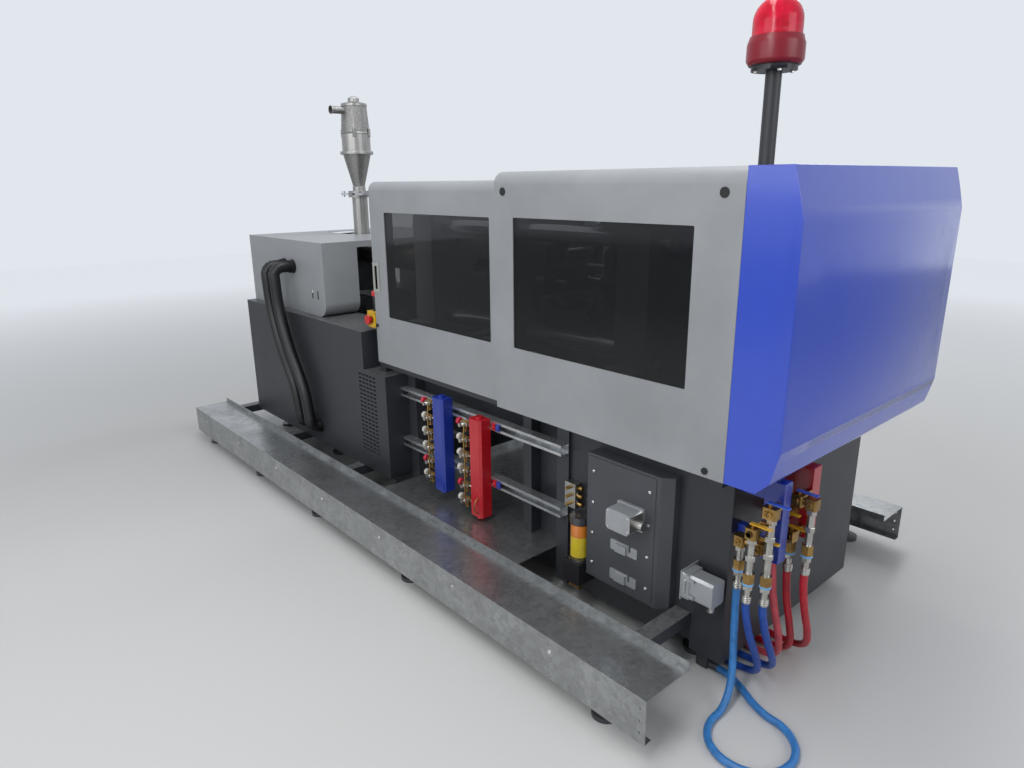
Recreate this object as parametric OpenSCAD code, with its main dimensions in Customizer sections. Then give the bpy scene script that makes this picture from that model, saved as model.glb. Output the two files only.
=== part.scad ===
// Electric injection moulding machine, in millimetres.
// +X is the clamp end, -X the injection end, -Y the non-operator side, Z up from the floor.

/* [Machine] */
// Injection end of the service trays
tray_x0 = -1862; // [-1870:2:-1850]
// Height of the clamping axis above the floor
axis_z = 1150; // [1140:5:1160]
// Thickness of the folded sheet steel
sheet_t = 3; // [2:0.5:4]
// Gap between faces that slide past each other
slide_gap = 0.3; // [0.2:0.1:0.6]
// Radial clearance of running fits
run_gap = 0.05; // [0.03:0.01:0.08]

/* [Bed] */
// Width of one bed beam
beam_w = 110; // [100:5:120]
// Half distance between the inner faces of the beams
beam_y = 290; // [285:5:300]
// Underside of the bed beams
beam_z = 690; // [680:5:700]
// Height of the bed beams
beam_h = 110; // [100:5:115]
// Width of a post along the machine
post_w = 60; // [50:5:70]
// Front face of the strut rail posts
post_y = 452; // [448:2:456]
// Underside of the bottom rails
rail_z = 60; // [56:2:70]
// Height of the bottom rails
rail_h = 90; // [80:5:90]
// Underside of the tray outriggers
outrigger_z = 150; // [146:2:154]
// Diameter of a levelling pad
pad_d = 90; // [80:5:110]
// Thickness of a levelling pad
pad_t = 15; // [12:1:20]
// Diameter of a levelling stud
stud_d = 20; // [16:2:24]

/* [Tray] */
// Half width over the tray aprons
tray_y = 877; // [870:1:884]
// Half width at the inner lip of the tray
lip_y = 680; // [670:5:690]
// Top surface of the tray
tray_z = 197; // [195:1:200]
// Lower edge of the apron
apron_z = 50; // [45:5:60]
// Height of the inner lip
lip_h = 25; // [15:5:35]
// Diameter of a bolt hole in the apron
apron_hole_d = 16; // [10:1:20]

/* [Cabinets] */
// Half width of the clamp side cabinet
clamp_cab_y = 440; // [430:2:444]
// Top of the clamp side cabinet
clamp_cab_z = 698; // [690:2:699]
// Start of the clamp side cabinet
clamp_cab_x0 = 985; // [980:5:990]
// End of the clamp side cabinet
clamp_cab_x1 = 1650; // [1640:5:1660]
// Half width of the injection side cabinet
inj_cab_y = 575; // [570:1:580]
// End of its lower part, under the door
inj_cab_x1 = -60; // [-70:5:-60]
// End of its upper part
inj_step_x = -250; // [-260:5:-245]
// Top of its upper part
inj_cab_z = 880; // [870:2:884]
// Top of its lower part
inj_low_z = 698; // [690:2:699]
// Half width of the well for the injection unit
well_y = 320; // [300:5:340]
// Rows of air slots in the louvre field
louvre_rows = 20; // [10:1:24]
// Columns of slots in the cabinet side
louvre_columns = 5; // [3:1:6]

/* [Clamp] */
// Face of the fixed platen towards the mould
mould_x = -50; // [-60:5:-40]
// Distance between the tie bar centres
tie_pitch = 410; // [400:5:420]
// Diameter of a tie bar
tie_d = 70; // [60:2:76]
// Width and height of the platens
platen_w = 590; // [580:5:600]
// Thickness of the fixed platen
fixed_t = 140; // [130:5:140]
// Thickness of the moving platen
moving_t = 110; // [100:5:120]
// Thickness of the rear platen
rear_t = 140; // [130:5:145]
// Largest distance between the fixed and moving platens
daylight = 410; // [400:5:420]
// Diameter of the locating ring bore
locating_d = 100; // [80:5:120]
// Distance between the rows of clamping screw holes
screw_pitch_y = 280; // [260:10:280]
// Height between the clamping screw holes
screw_pitch_z = 280; // [260:10:280]
// Diameter of a clamping screw hole
screw_hole_d = 16; // [12:2:20]

/* [Toggle] */
// Length of the front and rear links between pins
link_l = 330; // [325:1:335]
// Length of the short links between pins
short_l = 130; // [126:1:134]
// Angle of the links to the axis when open
theta_open = 49.3; // [48:0.1:50]
// Angle of the links to the axis when shut
theta_shut = 5.5; // [5:0.1:7]
// Distance of the pivots from the axis
pivot_h = 110; // [106:1:114]
// Diameter of the toggle pins
pin_d = 44; // [40:2:46]
// Thickness of a link plate
link_t = 30; // [28:1:30]
// Half thickness of the crosshead lug
lug_half = 36; // [34:1:38]
// Distance from a platen face to its pivots
lug_reach = 90; // [88:1:96]
// Radius of the link ends
eye_r = 38; // [36:1:38]

/* [Drive] */
// Diameter of the clamp ball screw
ball_screw_d = 50; // [40:2:52]
// Diameter of the large toothed pulley
big_pulley_d = 200; // [180:10:210]
// Diameter of the motor pulley
small_pulley_d = 120; // [100:10:130]
// Width of the pulleys
pulley_w = 34; // [30:2:38]
// Sideways place of the clamp motor
motor_y = -270; // [-280:5:-260]
// Height of the clamp motor
motor_z = 1000; // [990:5:1010]
// Side of the square motor
motor_w = 170; // [150:10:180]

/* [Injection unit] */
// Hopper axis, from the injection end of the cabinet
hopper_back = 420; // [410:5:430]
// Tip of the nozzle
nozzle_x = -62; // [-64:1:-60]
// Diameter over the heater bands
heater_d = 130; // [120:5:140]
// Diameter of the barrel
barrel_d = 105; // [95:5:110]
// Diameter of the plasticizing screw
screw_d = 36; // [32:1:40]
// Width of the carriage plates
carriage_w = 360; // [340:10:380]
// Height of the carriage plates
carriage_h = 315; // [300:5:320]
// Rail height above the bed
way_h = 130; // [120:5:132]
// Diameter of the carriage rods
rod_d = 32; // [28:1:36]

/* [Covers] */
// Half width over the covers
cover_y = 550; // [546:1:556]
// Depth of the end cover
end_depth = 187; // [180:1:190]
// Length of the clamp cover
cover_l = 975; // [965:5:985]
// Lower edge of the clamp cover
cover_z0 = 731; // [730:1:734]
// Top of the clamp cover
cover_z1 = 1585; // [1580:1:1590]
// Radius of the rolled top edges
cover_r = 45; // [35:5:60]
// Wall thickness of the clamp cover
cover_t = 4; // [3:0.5:5]
// Length of a cover window
window_l = 733; // [700:5:740]
// Height of a cover window
window_h = 458; // [440:2:470]
// Lower edge of a cover window
window_z = 975; // [960:5:985]
// Thickness of the window panes
pane_t = 5; // [4:0.5:6]
// Bulge of the end cover over its top edge
end_bulge = 63; // [50:1:70]
// Depth of the side facets of the end cover
facet_d = 30; // [20:1:36]
// Width of the side facets of the end cover
facet_w = 150; // [120:5:180]
// Height of the cut along the lower edge of the curved face
lower_cut = 28; // [20:2:34]

/* [Doors] */
// Outer face of the doors
door_y = 525; // [522:1:528]
// Length of a door
door_l = 960; // [950:5:970]
// Part of a shut door behind the clamp cover
door_lap = 70; // [60:5:80]
// Lower edge of the doors
door_z0 = 742; // [740:1:744]
// Top of the doors
door_z1 = 1557; // [1550:1:1560]
// Thickness of a door's folded edge
door_t = 27; // [24:1:30]
// Length of a door window
door_window_l = 715; // [700:5:720]
// Height of a door window
door_window_h = 463; // [450:1:470]
// Lower edge of a door window
door_window_z = 965; // [960:1:975]

/* [Injection cover] */
// Half width of the injection cover
inj_cover_y = 520; // [510:2:530]
// End of the injection cover at the mould
inj_cover_x1 = -690; // [-700:5:-680]
// Top of the injection cover
inj_cover_z = 1262; // [1258:1:1266]

/* [Services] */
// Front face of the junction box
box_y = 500; // [496:1:506]
// Start of the junction box
box_x0 = 1123; // [1120:1:1130]
// Length of the junction box
box_l = 342; // [336:1:344]
// Lower edge of the junction box
box_z0 = 187; // [180:1:200]
// Height of the junction box
box_h = 468; // [460:1:474]
// Height of the upper strut rail
strut_z1 = 615; // [605:5:620]
// Height of the lower strut rail
strut_z2 = 370; // [365:5:380]
// Section of a strut rail
strut_w = 41; // [40:1:42]
// Width of a cooling manifold
manifold_w = 75; // [70:1:80]
// Diameter of the cooling hoses
hose_d = 23; // [21:0.5:24]

/* [Beacon] */
// Beacon axis, from the clamp end of the cover
beacon_back = 262; // [255:1:270]
// Diameter of the beacon pole
pole_d = 50; // [44:1:54]
// Top of the beacon pole
pole_z = 1876; // [1860:1:1890]
// Diameter of the dome
dome_d = 150; // [144:1:154]
// Top of the dome
dome_z = 2090; // [2080:1:2100]

/* [Hidden] */
$fn = 48;

tray_x1 = clamp_cab_x1 + 42;
inj_cab_x0 = tray_x0 + 262;
hopper_x = inj_cab_x0 + hopper_back;
cover_x1 = clamp_cab_x1 + 25;
end_x = cover_x1 + end_depth;
beacon_x = cover_x1 - beacon_back;
cover_x0 = cover_x1 - cover_l;
door_x1 = cover_x0 + door_lap;
door_x0 = door_x1 - door_l;

beam_top = beam_z + beam_h;
beam_y1 = beam_y + beam_w;
rail_top = rail_z + rail_h;
bed_x0 = tray_x0 + 120;
bed_x1 = clamp_cab_x1 - sheet_t;
outrigger_w = 60;
outriggers = [tray_x0 + 162, hopper_x + 180, -330, 460, clamp_cab_x1 - 150];
tray_under = tray_z - sheet_t;

platen_h = platen_w / 2;
platen_z0 = axis_z - platen_h;
fixed_x0 = mould_x - fixed_t;
moving_x0 = mould_x + daylight;
moving_x1 = moving_x0 + moving_t;
front_pivot_x = moving_x1 + lug_reach;
rear_pivot_x = front_pivot_x + 2 * link_l * cos(theta_open);
rear_x0 = rear_pivot_x + lug_reach - 30;
rear_x1 = rear_x0 + rear_t;
stroke = 2 * link_l * (cos(theta_shut) - cos(theta_open));
slot_run = 2 * link_l * cos((theta_open + theta_shut) / 2)
         - link_l * (cos(theta_open) + cos(theta_shut));
crosshead_x = rear_pivot_x - 2 * short_l * cos(theta_open);
short_slot_run = slot_run * short_l / link_l;
knee_x = rear_pivot_x - link_l * cos(theta_open);
knee_h = pivot_h + link_l * sin(theta_open);
elbow_x = rear_pivot_x - short_l * cos(theta_open);
elbow_h = pivot_h + short_l * sin(theta_open);
short_y0 = lug_half + slide_gap;
rear_link_y0 = short_y0 + link_t - 1 + slide_gap;
front_link_y0 = rear_link_y0 + link_t + slide_gap;
pin_half = front_link_y0 + link_t;
foot_w = 95;
way_top = beam_top + 40;
way_w = 60;

nut_d = 112;
nut_t = 60;
pulley_x0 = rear_x1 + nut_t + 15;
bracket_x0 = pulley_x0 + pulley_w + 21;
bracket_t = 18;
belt_t = 6;

plate_t = 120;
feed_x0 = hopper_x - plate_t / 2;
feed_x1 = hopper_x + plate_t / 2;
pusher_x1 = feed_x0 - 80;
pusher_t = 50;
pusher_stroke = 110;
back_x1 = pusher_x1 - pusher_t - pusher_stroke - 20;
back_t = 40;
inj_rail_top = beam_top + way_h;
inj_rail_y = 150;
inj_rail_w = 40;
carriage_z0 = inj_rail_top + slide_gap;
carriage_z1 = carriage_z0 + carriage_h;
barrel_x1 = nozzle_x - 150;
throat_d = 70;
gate_z = 1485;

top_rail_z = door_z1 - cover_t - slide_gap;
guide_y = 470;
seal_y = 518;
seal_w = 16;

end_bar_x = clamp_cab_x1 + 80;
end_bar_w = 60;
end_bar_z1 = 722;
header_x = clamp_cab_x1 - 100;
header_w = 40;
socket_x = header_x + 72;
socket_z = 14;

unit_x = [1, 0, 0];

// Cooling hose routes: down from the take-offs, over the floor and back under the base
blue_route_1 = [[1684, -440, 360], [1684, -440, 340], [1685, -441, 303], [1688, -443, 246],
                [1694, -449, 190], [1703, -460, 135], [1714, -479, 83], [1726, -513, 40],
                [1735, -563, 16], [1738, -620, 12], [1760, -672, 12], [1803, -708, 12],
                [1858, -720, 12], [1913, -706, 12], [1955, -668, 12], [1975, -616, 12],
                [1969, -560, 12], [1938, -513, 12], [1889, -485, 12], [1833, -478, 12],
                [1780, -460, 13], [1730, -432, 13], [1678, -409, 14], [1638, -400, 14],
                [1622, -400, 14]];
blue_route_2 = [[1745, -490, 360], [1745, -490, 340], [1746, -488, 324], [1749, -481, 289],
                [1752, -472, 255], [1755, -460, 221], [1758, -446, 188], [1759, -431, 156],
                [1758, -414, 125], [1752, -396, 94], [1741, -377, 66], [1720, -361, 42],
                [1692, -348, 25], [1658, -342, 16], [1638, -340, 14], [1622, -340, 14]];
blue_route_3 = [[1783, -460, 355], [1783, -460, 335], [1784, -457, 317], [1786, -448, 281],
                [1788, -436, 245], [1789, -420, 211], [1789, -402, 178], [1787, -383, 145],
                [1782, -362, 115], [1771, -340, 85], [1754, -320, 59], [1728, -302, 38],
                [1696, -289, 24], [1660, -282, 16], [1638, -280, 14], [1622, -280, 14]];
red_route_1 = [[1735, -330, 430], [1735, -330, 410], [1736, -329, 393], [1738, -326, 356],
               [1740, -322, 320], [1744, -316, 284], [1747, -308, 248], [1750, -299, 212],
               [1753, -289, 177], [1753, -277, 142], [1750, -264, 108], [1741, -250, 75],
               [1723, -237, 46], [1694, -227, 26], [1659, -221, 17], [1638, -220, 14],
               [1622, -220, 14]];
red_route_2 = [[1768, -300, 400], [1768, -300, 380], [1769, -299, 364], [1770, -294, 328],
               [1771, -288, 293], [1773, -279, 258], [1774, -268, 224], [1774, -256, 190],
               [1772, -242, 157], [1768, -226, 124], [1759, -210, 93], [1745, -193, 65],
               [1722, -179, 41], [1692, -168, 25], [1658, -162, 16], [1638, -160, 14],
               [1622, -160, 14]];
red_route_3 = [[1822, -300, 410], [1822, -300, 390], [1822, -298, 372], [1823, -292, 335],
               [1824, -282, 298], [1824, -270, 262], [1824, -255, 227], [1822, -237, 194],
               [1817, -218, 161], [1810, -198, 130], [1799, -177, 101], [1783, -155, 74],
               [1760, -136, 51], [1731, -119, 33], [1697, -108, 22], [1660, -102, 16],
               [1638, -100, 14], [1622, -100, 14]];

// Small helpers that several pieces share

module both_sides() {
    children();
    mirror([0, 1, 0]) children();
}

module both_ends_z() {
    children();
    translate([0, 0, 2 * axis_z]) mirror([0, 0, 1]) children();
}

// A box given by its lowest and highest corners
module span(a, b) {
    translate(a) cube(b - a);
}

// A round bar along X, Y or Z
module bar_x(x0, x1, y, z, d) {
    translate([x0, y, z]) rotate([0, 90, 0]) cylinder(h = x1 - x0, d = d);
}

module bar_y(x, y0, y1, z, d) {
    translate([x, y0, z]) rotate([-90, 0, 0]) cylinder(h = y1 - y0, d = d);
}

module bar_z(x, y, z0, z1, d) {
    translate([x, y, z0]) cylinder(h = z1 - z0, d = d);
}

// A rectangle with four round corners
module round_rect(size, r) {
    translate([r, 0]) square([size[0] - 2 * r, size[1]]);
    translate([0, r]) square([size[0], size[1] - 2 * r]);
    for (x = [r, size[0] - r], y = [r, size[1] - r]) translate([x, y]) circle(r);
}

// A round-cornered opening or panel across Y, from its low corner
module panel_y(x0, z0, size, r, y0, y1) {
    translate([x0, y1, z0]) rotate([90, 0, 0]) linear_extrude(y1 - y0) round_rect(size, r);
}

// A flat outline in X and Z, pulled through from y0 to y1
module slab_y(y0, y1) {
    translate([0, y1, 0]) rotate([90, 0, 0]) linear_extrude(y1 - y0) children();
}

function unit(v) = v / norm(v);
function tangents(p) = [for (i = [0 : len(p) - 1])
    unit(p[min(i + 1, len(p) - 1)] - p[max(i - 1, 0)])];
function carried(t, i, n) = i >= len(t) ? [] :
    let (m = unit(n - (n * t[i]) * t[i])) concat([m], carried(t, i + 1, m));

// A round tube with flat sides, swept along the points of its route
module swept_tube(p, d, sides = 8) {
    t = tangents(p);
    n = carried(t, 0, unit_x);
    rings = [for (i = [0 : len(p) - 1]) for (k = [0 : sides - 1])
        let (a = 360 * k / sides) p[i] + d / 2 * (cos(a) * n[i] + sin(a) * cross(t[i], n[i]))];
    last = (len(p) - 1) * sides;
    walls = [for (i = [0 : len(p) - 2]) for (k = [0 : sides - 1])
        [i * sides + k, i * sides + (k + 1) % sides,
         (i + 1) * sides + (k + 1) % sides, (i + 1) * sides + k]];
    polyhedron(points = rings, convexity = 6,
               faces = concat([[for (k = [0 : sides - 1]) k]],
                              [for (f = walls) [f[3], f[2], f[1], f[0]]],
                              [[for (k = [sides - 1 : -1 : 0]) last + k]]));
}

// Bed, cabinets and trays

module bed_frame() {
    color([0.2, 0.2, 0.22]) {
        both_sides() {
            span([inj_cab_x0 + sheet_t, beam_y, beam_z], [bed_x1, beam_y1, beam_top]);
            span([bed_x0, beam_y, rail_z], [bed_x1, beam_y1, rail_top]);
            for (x = [inj_cab_x0 + sheet_t, inj_cab_x1 - post_w * 10,
                      clamp_cab_x0 + 200, bed_x1 - post_w])
                span([x, beam_y, rail_top], [x + post_w, beam_y1, beam_z]);
            for (x = [inj_cab_x1, clamp_cab_x0 - post_w])
                span([x, beam_y1 - 10, rail_z], [x + post_w, post_y, beam_z + 20]);
            span([mould_x, beam_y, beam_top], [rear_x0, beam_y + way_w, way_top]);
            span([inj_cab_x0 + 60, inj_rail_y - inj_rail_w / 2, beam_top],
                 [inj_cover_x1 - 200, inj_rail_y + inj_rail_w / 2, inj_rail_top]);
        }
        for (x = [inj_cab_x0 + 60, inj_cover_x1 - 280, fixed_x0, rear_x0, bed_x1 - 80])
            span([x, -beam_y, beam_z + 10], [x + 80, beam_y, beam_top]);
        for (x = outriggers)
            span([x - outrigger_w / 2, 5 - tray_y, outrigger_z],
                 [x + outrigger_w / 2, tray_y - 5, tray_under]);
        for (x = outriggers)
            span([x - outrigger_w / 2, -beam_y1, rail_z],
                 [x + outrigger_w / 2, beam_y1, outrigger_z]);
    }
}

module clamp_cabinet() {
    color([0.19, 0.19, 0.21]) difference() {
        union() {
            both_sides() {
                span([clamp_cab_x0, clamp_cab_y - sheet_t, rail_z + 2],
                     [clamp_cab_x1, clamp_cab_y, clamp_cab_z]);
                span([clamp_cab_x0, beam_y1, clamp_cab_z - sheet_t],
                     [clamp_cab_x1, clamp_cab_y, clamp_cab_z]);
            }
            span([clamp_cab_x1 - sheet_t, -clamp_cab_y, rail_z + 2],
                 [clamp_cab_x1, clamp_cab_y, clamp_cab_z]);
        }
        span([outriggers[4] - outrigger_w / 2 - 2, -tray_y, 0],
             [outriggers[4] + outrigger_w / 2 + 2, tray_y, tray_under + 2]);
    }
}

// Side panel of the injection cabinet, with its field of air slots
module cabinet_side() {
    slab_y(inj_cab_y - sheet_t, inj_cab_y) difference() {
        polygon([[inj_cab_x0, tray_under], [inj_cab_x1, tray_under], [inj_cab_x1, inj_low_z],
                 [inj_step_x, inj_low_z], [inj_step_x, inj_cab_z], [inj_cab_x0, inj_cab_z]]);
        for (row = [0 : louvre_rows - 1], column = [0 : louvre_columns - 1])
            translate([inj_step_x - 50 + 32 * column, 288 + 20 * row]) square([23, 8]);
    }
}

module injection_cabinet() {
    inner = inj_cab_y - sheet_t;
    color([0.17, 0.17, 0.19]) {
        both_sides() {
            cabinet_side();
            span([inj_cab_x1 - sheet_t, post_y, tray_under], [inj_cab_x1, inner, inj_low_z]);
            span([inj_step_x, post_y, inj_low_z - sheet_t],
                 [inj_cab_x1 - sheet_t, inner, inj_low_z]);
            span([inj_step_x - sheet_t, beam_y1, inj_low_z - sheet_t],
                 [inj_step_x, inner, inj_cab_z]);
            span([inj_step_x - sheet_t, well_y, beam_top],
                 [inj_step_x, beam_y1, inj_cab_z]);
            span([inj_cab_x0 + sheet_t, well_y, inj_cab_z - sheet_t],
                 [inj_step_x - sheet_t, inner, inj_cab_z]);
        }
        difference() {
            span([inj_cab_x0, -inner, tray_under], [inj_cab_x0 + sheet_t, inner, inj_cab_z]);
            span([inj_cab_x0 - 1, -well_y, beam_top + 2],
                 [inj_cab_x0 + sheet_t + 1, well_y, inj_cab_z + 1]);
        }
    }
}

module levelling_feet() {
    color([0.35, 0.36, 0.38]) both_sides() for (x = outriggers) {
        bar_z(x, (beam_y + beam_y1) / 2, 0, pad_t, pad_d);
        bar_z(x, (beam_y + beam_y1) / 2, pad_t, rail_z, stud_d);
        bar_z(x, tray_y - 62, 0, pad_t, pad_d);
        bar_z(x, tray_y - 62, pad_t, outrigger_z, stud_d);
    }
}

module tray_section() {
    translate([lip_y, tray_under]) square([tray_y - lip_y, sheet_t]);
    translate([tray_y - sheet_t, apron_z]) square([sheet_t, tray_z - apron_z]);
    translate([tray_y - 30, apron_z]) square([30, sheet_t]);
    translate([lip_y, tray_under]) square([sheet_t, lip_h + sheet_t]);
}

module side_trays() {
    color([0.6, 0.62, 0.64]) both_sides() difference() {
        translate([tray_x0, 0, 0]) rotate([90, 0, 90]) linear_extrude(tray_x1 - tray_x0)
            tray_section();
        for (x = [tray_x0 + 180 : 500 : tray_x1 - 100])
            bar_y(x, tray_y - 2 * sheet_t, tray_y + 1, (apron_z + tray_z) / 2 + 20, apron_hole_d);
        for (z = [-40, 0, 40])
            bar_y(tray_x1 - 22, tray_y - 2 * sheet_t, tray_y + 1,
                  (apron_z + tray_z) / 2 + z, apron_hole_d / 2);
    }
}

module floor_pan() {
    x0 = inj_cab_x1 + post_w;
    x1 = clamp_cab_x0 - post_w;
    color([0.62, 0.64, 0.66]) {
        span([x0, -lip_y, tray_under], [x1, lip_y, tray_z]);
        for (x = [x0, x1 - sheet_t]) span([x, 20 - beam_y, tray_z], [x + sheet_t, beam_y - 20, tray_z + 30]);
    }
}

// Cooling water manifolds and their rails

module strut_section() {
    lip = 11;
    wall = 2.5;
    difference() {
        square([strut_w, strut_w]);
        translate([wall, wall]) square([strut_w - 2 * wall, strut_w]);
    }
    for (x = [0, strut_w - lip]) translate([x, strut_w - wall]) square([lip, wall]);
}

module strut_rails() {
    color([0.66, 0.68, 0.7]) for (z = [strut_z1, strut_z2])
        difference() {
            translate([inj_cab_x1, -post_y, z - strut_w / 2]) rotate([90, 0, 90])
                linear_extrude(clamp_cab_x0 - inj_cab_x1) rotate(90) strut_section();
            for (x = [inj_cab_x1 + 90 : 100 : clamp_cab_x0 - 80])
                panel_y(x, z - 7, [28, 14], 6.9, -post_y - 4, -post_y + 1);
        }
}

red_mid_x = 514;
red_mid_z0 = 217;
red_mid_z1 = 640;
blue_mid_x = 262;
blue_mid_z0 = 250;
blue_mid_z1 = 672;
port_pitch = 68;
mid_ports = 6;
manifold_d = 56;

module mid_manifold(x, z0, z1) {
    y1 = -post_y - strut_w;
    difference() {
        union() {
            translate([x, y1, z0]) linear_extrude(z1 - z0)
                polygon([[0, 0], [manifold_w, 0], [manifold_w, 9 - manifold_d],
                         [manifold_w - 9, -manifold_d], [9, -manifold_d], [0, 9 - manifold_d]]);
            for (i = [0 : mid_ports - 1])
                bar_x(x - 7, x + 5, y1 - manifold_d / 2, z0 + 40 + port_pitch * i, 30);
            bar_z(x + manifold_w / 2, y1 - manifold_d / 2, z0 - 14, z0, 34);
            bar_z(x + manifold_w / 2, y1 - manifold_d / 2, z1, z1 + 9, 30);
        }
        for (i = [0 : mid_ports - 1])
            bar_x(x - 8, x + 20, y1 - manifold_d / 2, z0 + 40 + port_pitch * i, 14);
    }
}

module red_mid_manifold() {
    color([0.72, 0.08, 0.13]) mid_manifold(red_mid_x, red_mid_z0, red_mid_z1);
}

module blue_mid_manifold() {
    color([0.12, 0.2, 0.55]) mid_manifold(blue_mid_x, blue_mid_z0, blue_mid_z1);
}

// One flow valve: nipple, hexagon body, hand knob and a branch to its hose tail
module flow_valve(x, y, z) {
    bar_x(x - 24, x + 10, y, z, 14 - 2 * run_gap);
    translate([x - 62, y, z]) rotate([0, 90, 0]) cylinder(h = 40, d = 28, $fn = 6);
    bar_x(x - 76, x - 62, y, z, 12);
    bar_x(x - 92, x - 76, y, z, 30);
    bar_z(x - 42, y, z - 34, z, 15);
    bar_y(x - 42, y - 36, y, z, 16);
}

module mid_valves() {
    y = -post_y - strut_w - manifold_d / 2;
    color([0.66, 0.52, 0.28]) for (i = [0 : mid_ports - 1]) {
        flow_valve(red_mid_x - 7, y, red_mid_z0 + 40 + port_pitch * i);
        flow_valve(blue_mid_x - 7, y, blue_mid_z0 + 40 + port_pitch * i);
    }
}

blue_bar_y = -370;
blue_bar_t = 43;
red_bar_y = -190;
red_bar_t = 50;

module end_bar(y1, depth, z0) {
    span([end_bar_x, y1 - depth, z0], [end_bar_x + end_bar_w, y1, end_bar_z1]);
    for (z = [z0 + 60, end_bar_z1 - 46])
        span([clamp_cab_x1, y1 - depth + 8, z - 20], [end_bar_x, y1 - 8, z + 20]);
}

module end_manifolds() {
    color([0.15, 0.25, 0.7]) end_bar(blue_bar_y, blue_bar_t, 470);
    color([0.7, 0.08, 0.12]) end_bar(red_bar_y, red_bar_t, 490);
}

// One take-off: out of the bar, sideways through a ball valve, and down to the hose tail
module take_off(route, port_x, port_y, port_z) {
    p = route[0];
    bar_y(port_x, p[1], port_y, port_z, 22);
    bar_x(min(port_x, p[0]), max(port_x, p[0]) + 0.01, p[1], port_z, 22);
    bar_z(p[0], p[1], p[2] + 66, port_z, 22);
    for (q = [[port_x, p[1], port_z], [p[0], p[1], port_z]]) translate(q) intersection() {
        cube(35, center = true);
        rotate(45) cube([43, 43, 36], center = true);
    }
    translate([p[0], p[1], p[2] + 66]) cylinder(h = 32, d = 36, $fn = 6);
    bar_z(p[0], p[1], p[2] + 24, p[2] + 66, 20);
    translate([p[0], p[1], p[2] + 44]) cylinder(h = 14, d = 30, $fn = 6);
    bar_z(p[0], p[1], p[2] + slide_gap, p[2] + 24, hose_d + 4);
    translate([port_x, port_y - 22, port_z]) rotate([-90, 0, 0]) cylinder(h = 22, d = 32, $fn = 6);
    bar_z(port_x, p[1], port_z, port_z + 26, 12);
    span([port_x - 8, p[1] - 7, port_z + 26], [port_x + 58, p[1] + 7, port_z + 30]);
}

module end_valves() {
    color([0.72, 0.56, 0.28]) {
        blue_face = blue_bar_y - blue_bar_t;
        red_face = red_bar_y - red_bar_t;
        take_off(blue_route_1, end_bar_x + 15, blue_face, 520);
        take_off(blue_route_2, end_bar_x + 15, blue_face, 585);
        take_off(blue_route_3, end_bar_x + 45, blue_face, 650);
        take_off(red_route_1, end_bar_x + 15, red_face, 575);
        take_off(red_route_2, end_bar_x + 38, red_face, 520);
        take_off(red_route_3, end_bar_x + 50, red_face, 640);
    }
    color([0.4, 0.4, 0.42]) {
        span([header_x, -420, rail_z - 56], [header_x + header_w, -60, rail_z]);
        for (r = [blue_route_1, blue_route_2, blue_route_3, red_route_1, red_route_2, red_route_3])
            bar_x(header_x + header_w, socket_x - slide_gap, r[len(r) - 1][1], socket_z, hose_d + 3);
    }
}

// Electrical box, plug connectors and grease pump

module junction_box() {
    y0 = -box_y;
    color([0.27, 0.27, 0.29]) {
        span([box_x0, y0, box_z0], [box_x0 + box_l - 35, -clamp_cab_y, box_z0 + box_h]);
        translate([0, 0, box_z0]) linear_extrude(box_h)
            polygon([[box_x0 + box_l - 35, y0], [box_x0 + box_l, -clamp_cab_y - 30],
                     [box_x0 + box_l, -clamp_cab_y], [box_x0 + box_l - 35, -clamp_cab_y]]);
        span([box_x0 + 10, y0 - sheet_t, box_z0 + 10], [box_x0 + box_l - 50, y0, box_z0 + box_h - 10]);
    }
    color([0.8, 0.8, 0.82]) for (i = [0 : 3], x = [box_x0 + 32, box_x0 + box_l - 72])
        bar_y(x, y0 - sheet_t - 3, y0 - sheet_t, box_z0 + 60 + (box_h - 120) / 3 * i, 11);
}

module hood_body(x, z, w, h, d) {
    y1 = -box_y - sheet_t;
    translate([x, y1, z]) rotate([90, 0, 0]) linear_extrude(10) round_rect([w, h], 5);
    translate([x + 4, y1 - 10, z + 4]) rotate([90, 0, 0]) linear_extrude(d - 10)
        polygon([[8, 0], [w - 20, 0], [w - 8, 14], [w - 8, h - 14], [w - 20, h - 8], [8, h - 8],
                 [0, h - 18], [0, 10]]);
}

module blank_bracket(z) {
    y1 = -box_y - sheet_t;
    translate([box_x0 + 117, y1, z]) rotate([90, 0, 0]) linear_extrude(4) difference() {
        round_rect([114, 38], 5);
        translate([78, 16]) square([9, 23]);
    }
    span([box_x0 + 143, y1 - 14, z + 3], [box_x0 + 189, y1 - 4, z + 33]);
}

side_plug_x = clamp_cab_x1 - 103;
side_plug_z = 300;
hood_inset = 146;
hood_rise = 261;
hood_x = box_x0 + hood_inset;
hood_z = box_z0 + hood_rise;

module hood_connectors() {
    color([0.66, 0.67, 0.68]) {
        hood_body(hood_x, hood_z, 108, 82, 72);
        bar_x(hood_x + 102, hood_x + 133, -box_y - 40, hood_z + 41, 30);
        blank_bracket(hood_z - 112);
        blank_bracket(hood_z - 224);
        span([side_plug_x - 4, -530, side_plug_z - 8], [side_plug_x, -clamp_cab_y, side_plug_z + 92]);
        translate([side_plug_x, 0, 0]) rotate([90, 0, 90]) linear_extrude(26)
            translate([-528, side_plug_z - 2]) round_rect([74, 88], 5);
        translate([side_plug_x + 26, 0, 0]) rotate([90, 0, 90]) linear_extrude(80)
            polygon([[-524, side_plug_z + 6], [-516, side_plug_z], [-466, side_plug_z],
                     [-458, side_plug_z + 6], [-458, side_plug_z + 74], [-466, side_plug_z + 82],
                     [-516, side_plug_z + 82], [-524, side_plug_z + 74]]);
        bar_z(side_plug_x + 84, -491, side_plug_z - 26, side_plug_z, 26);
        for (z = [side_plug_z + 10, side_plug_z + 66])
            span([side_plug_x + 6, -533, z], [side_plug_x + 46, -528, z + 10]);
    }
}

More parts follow.
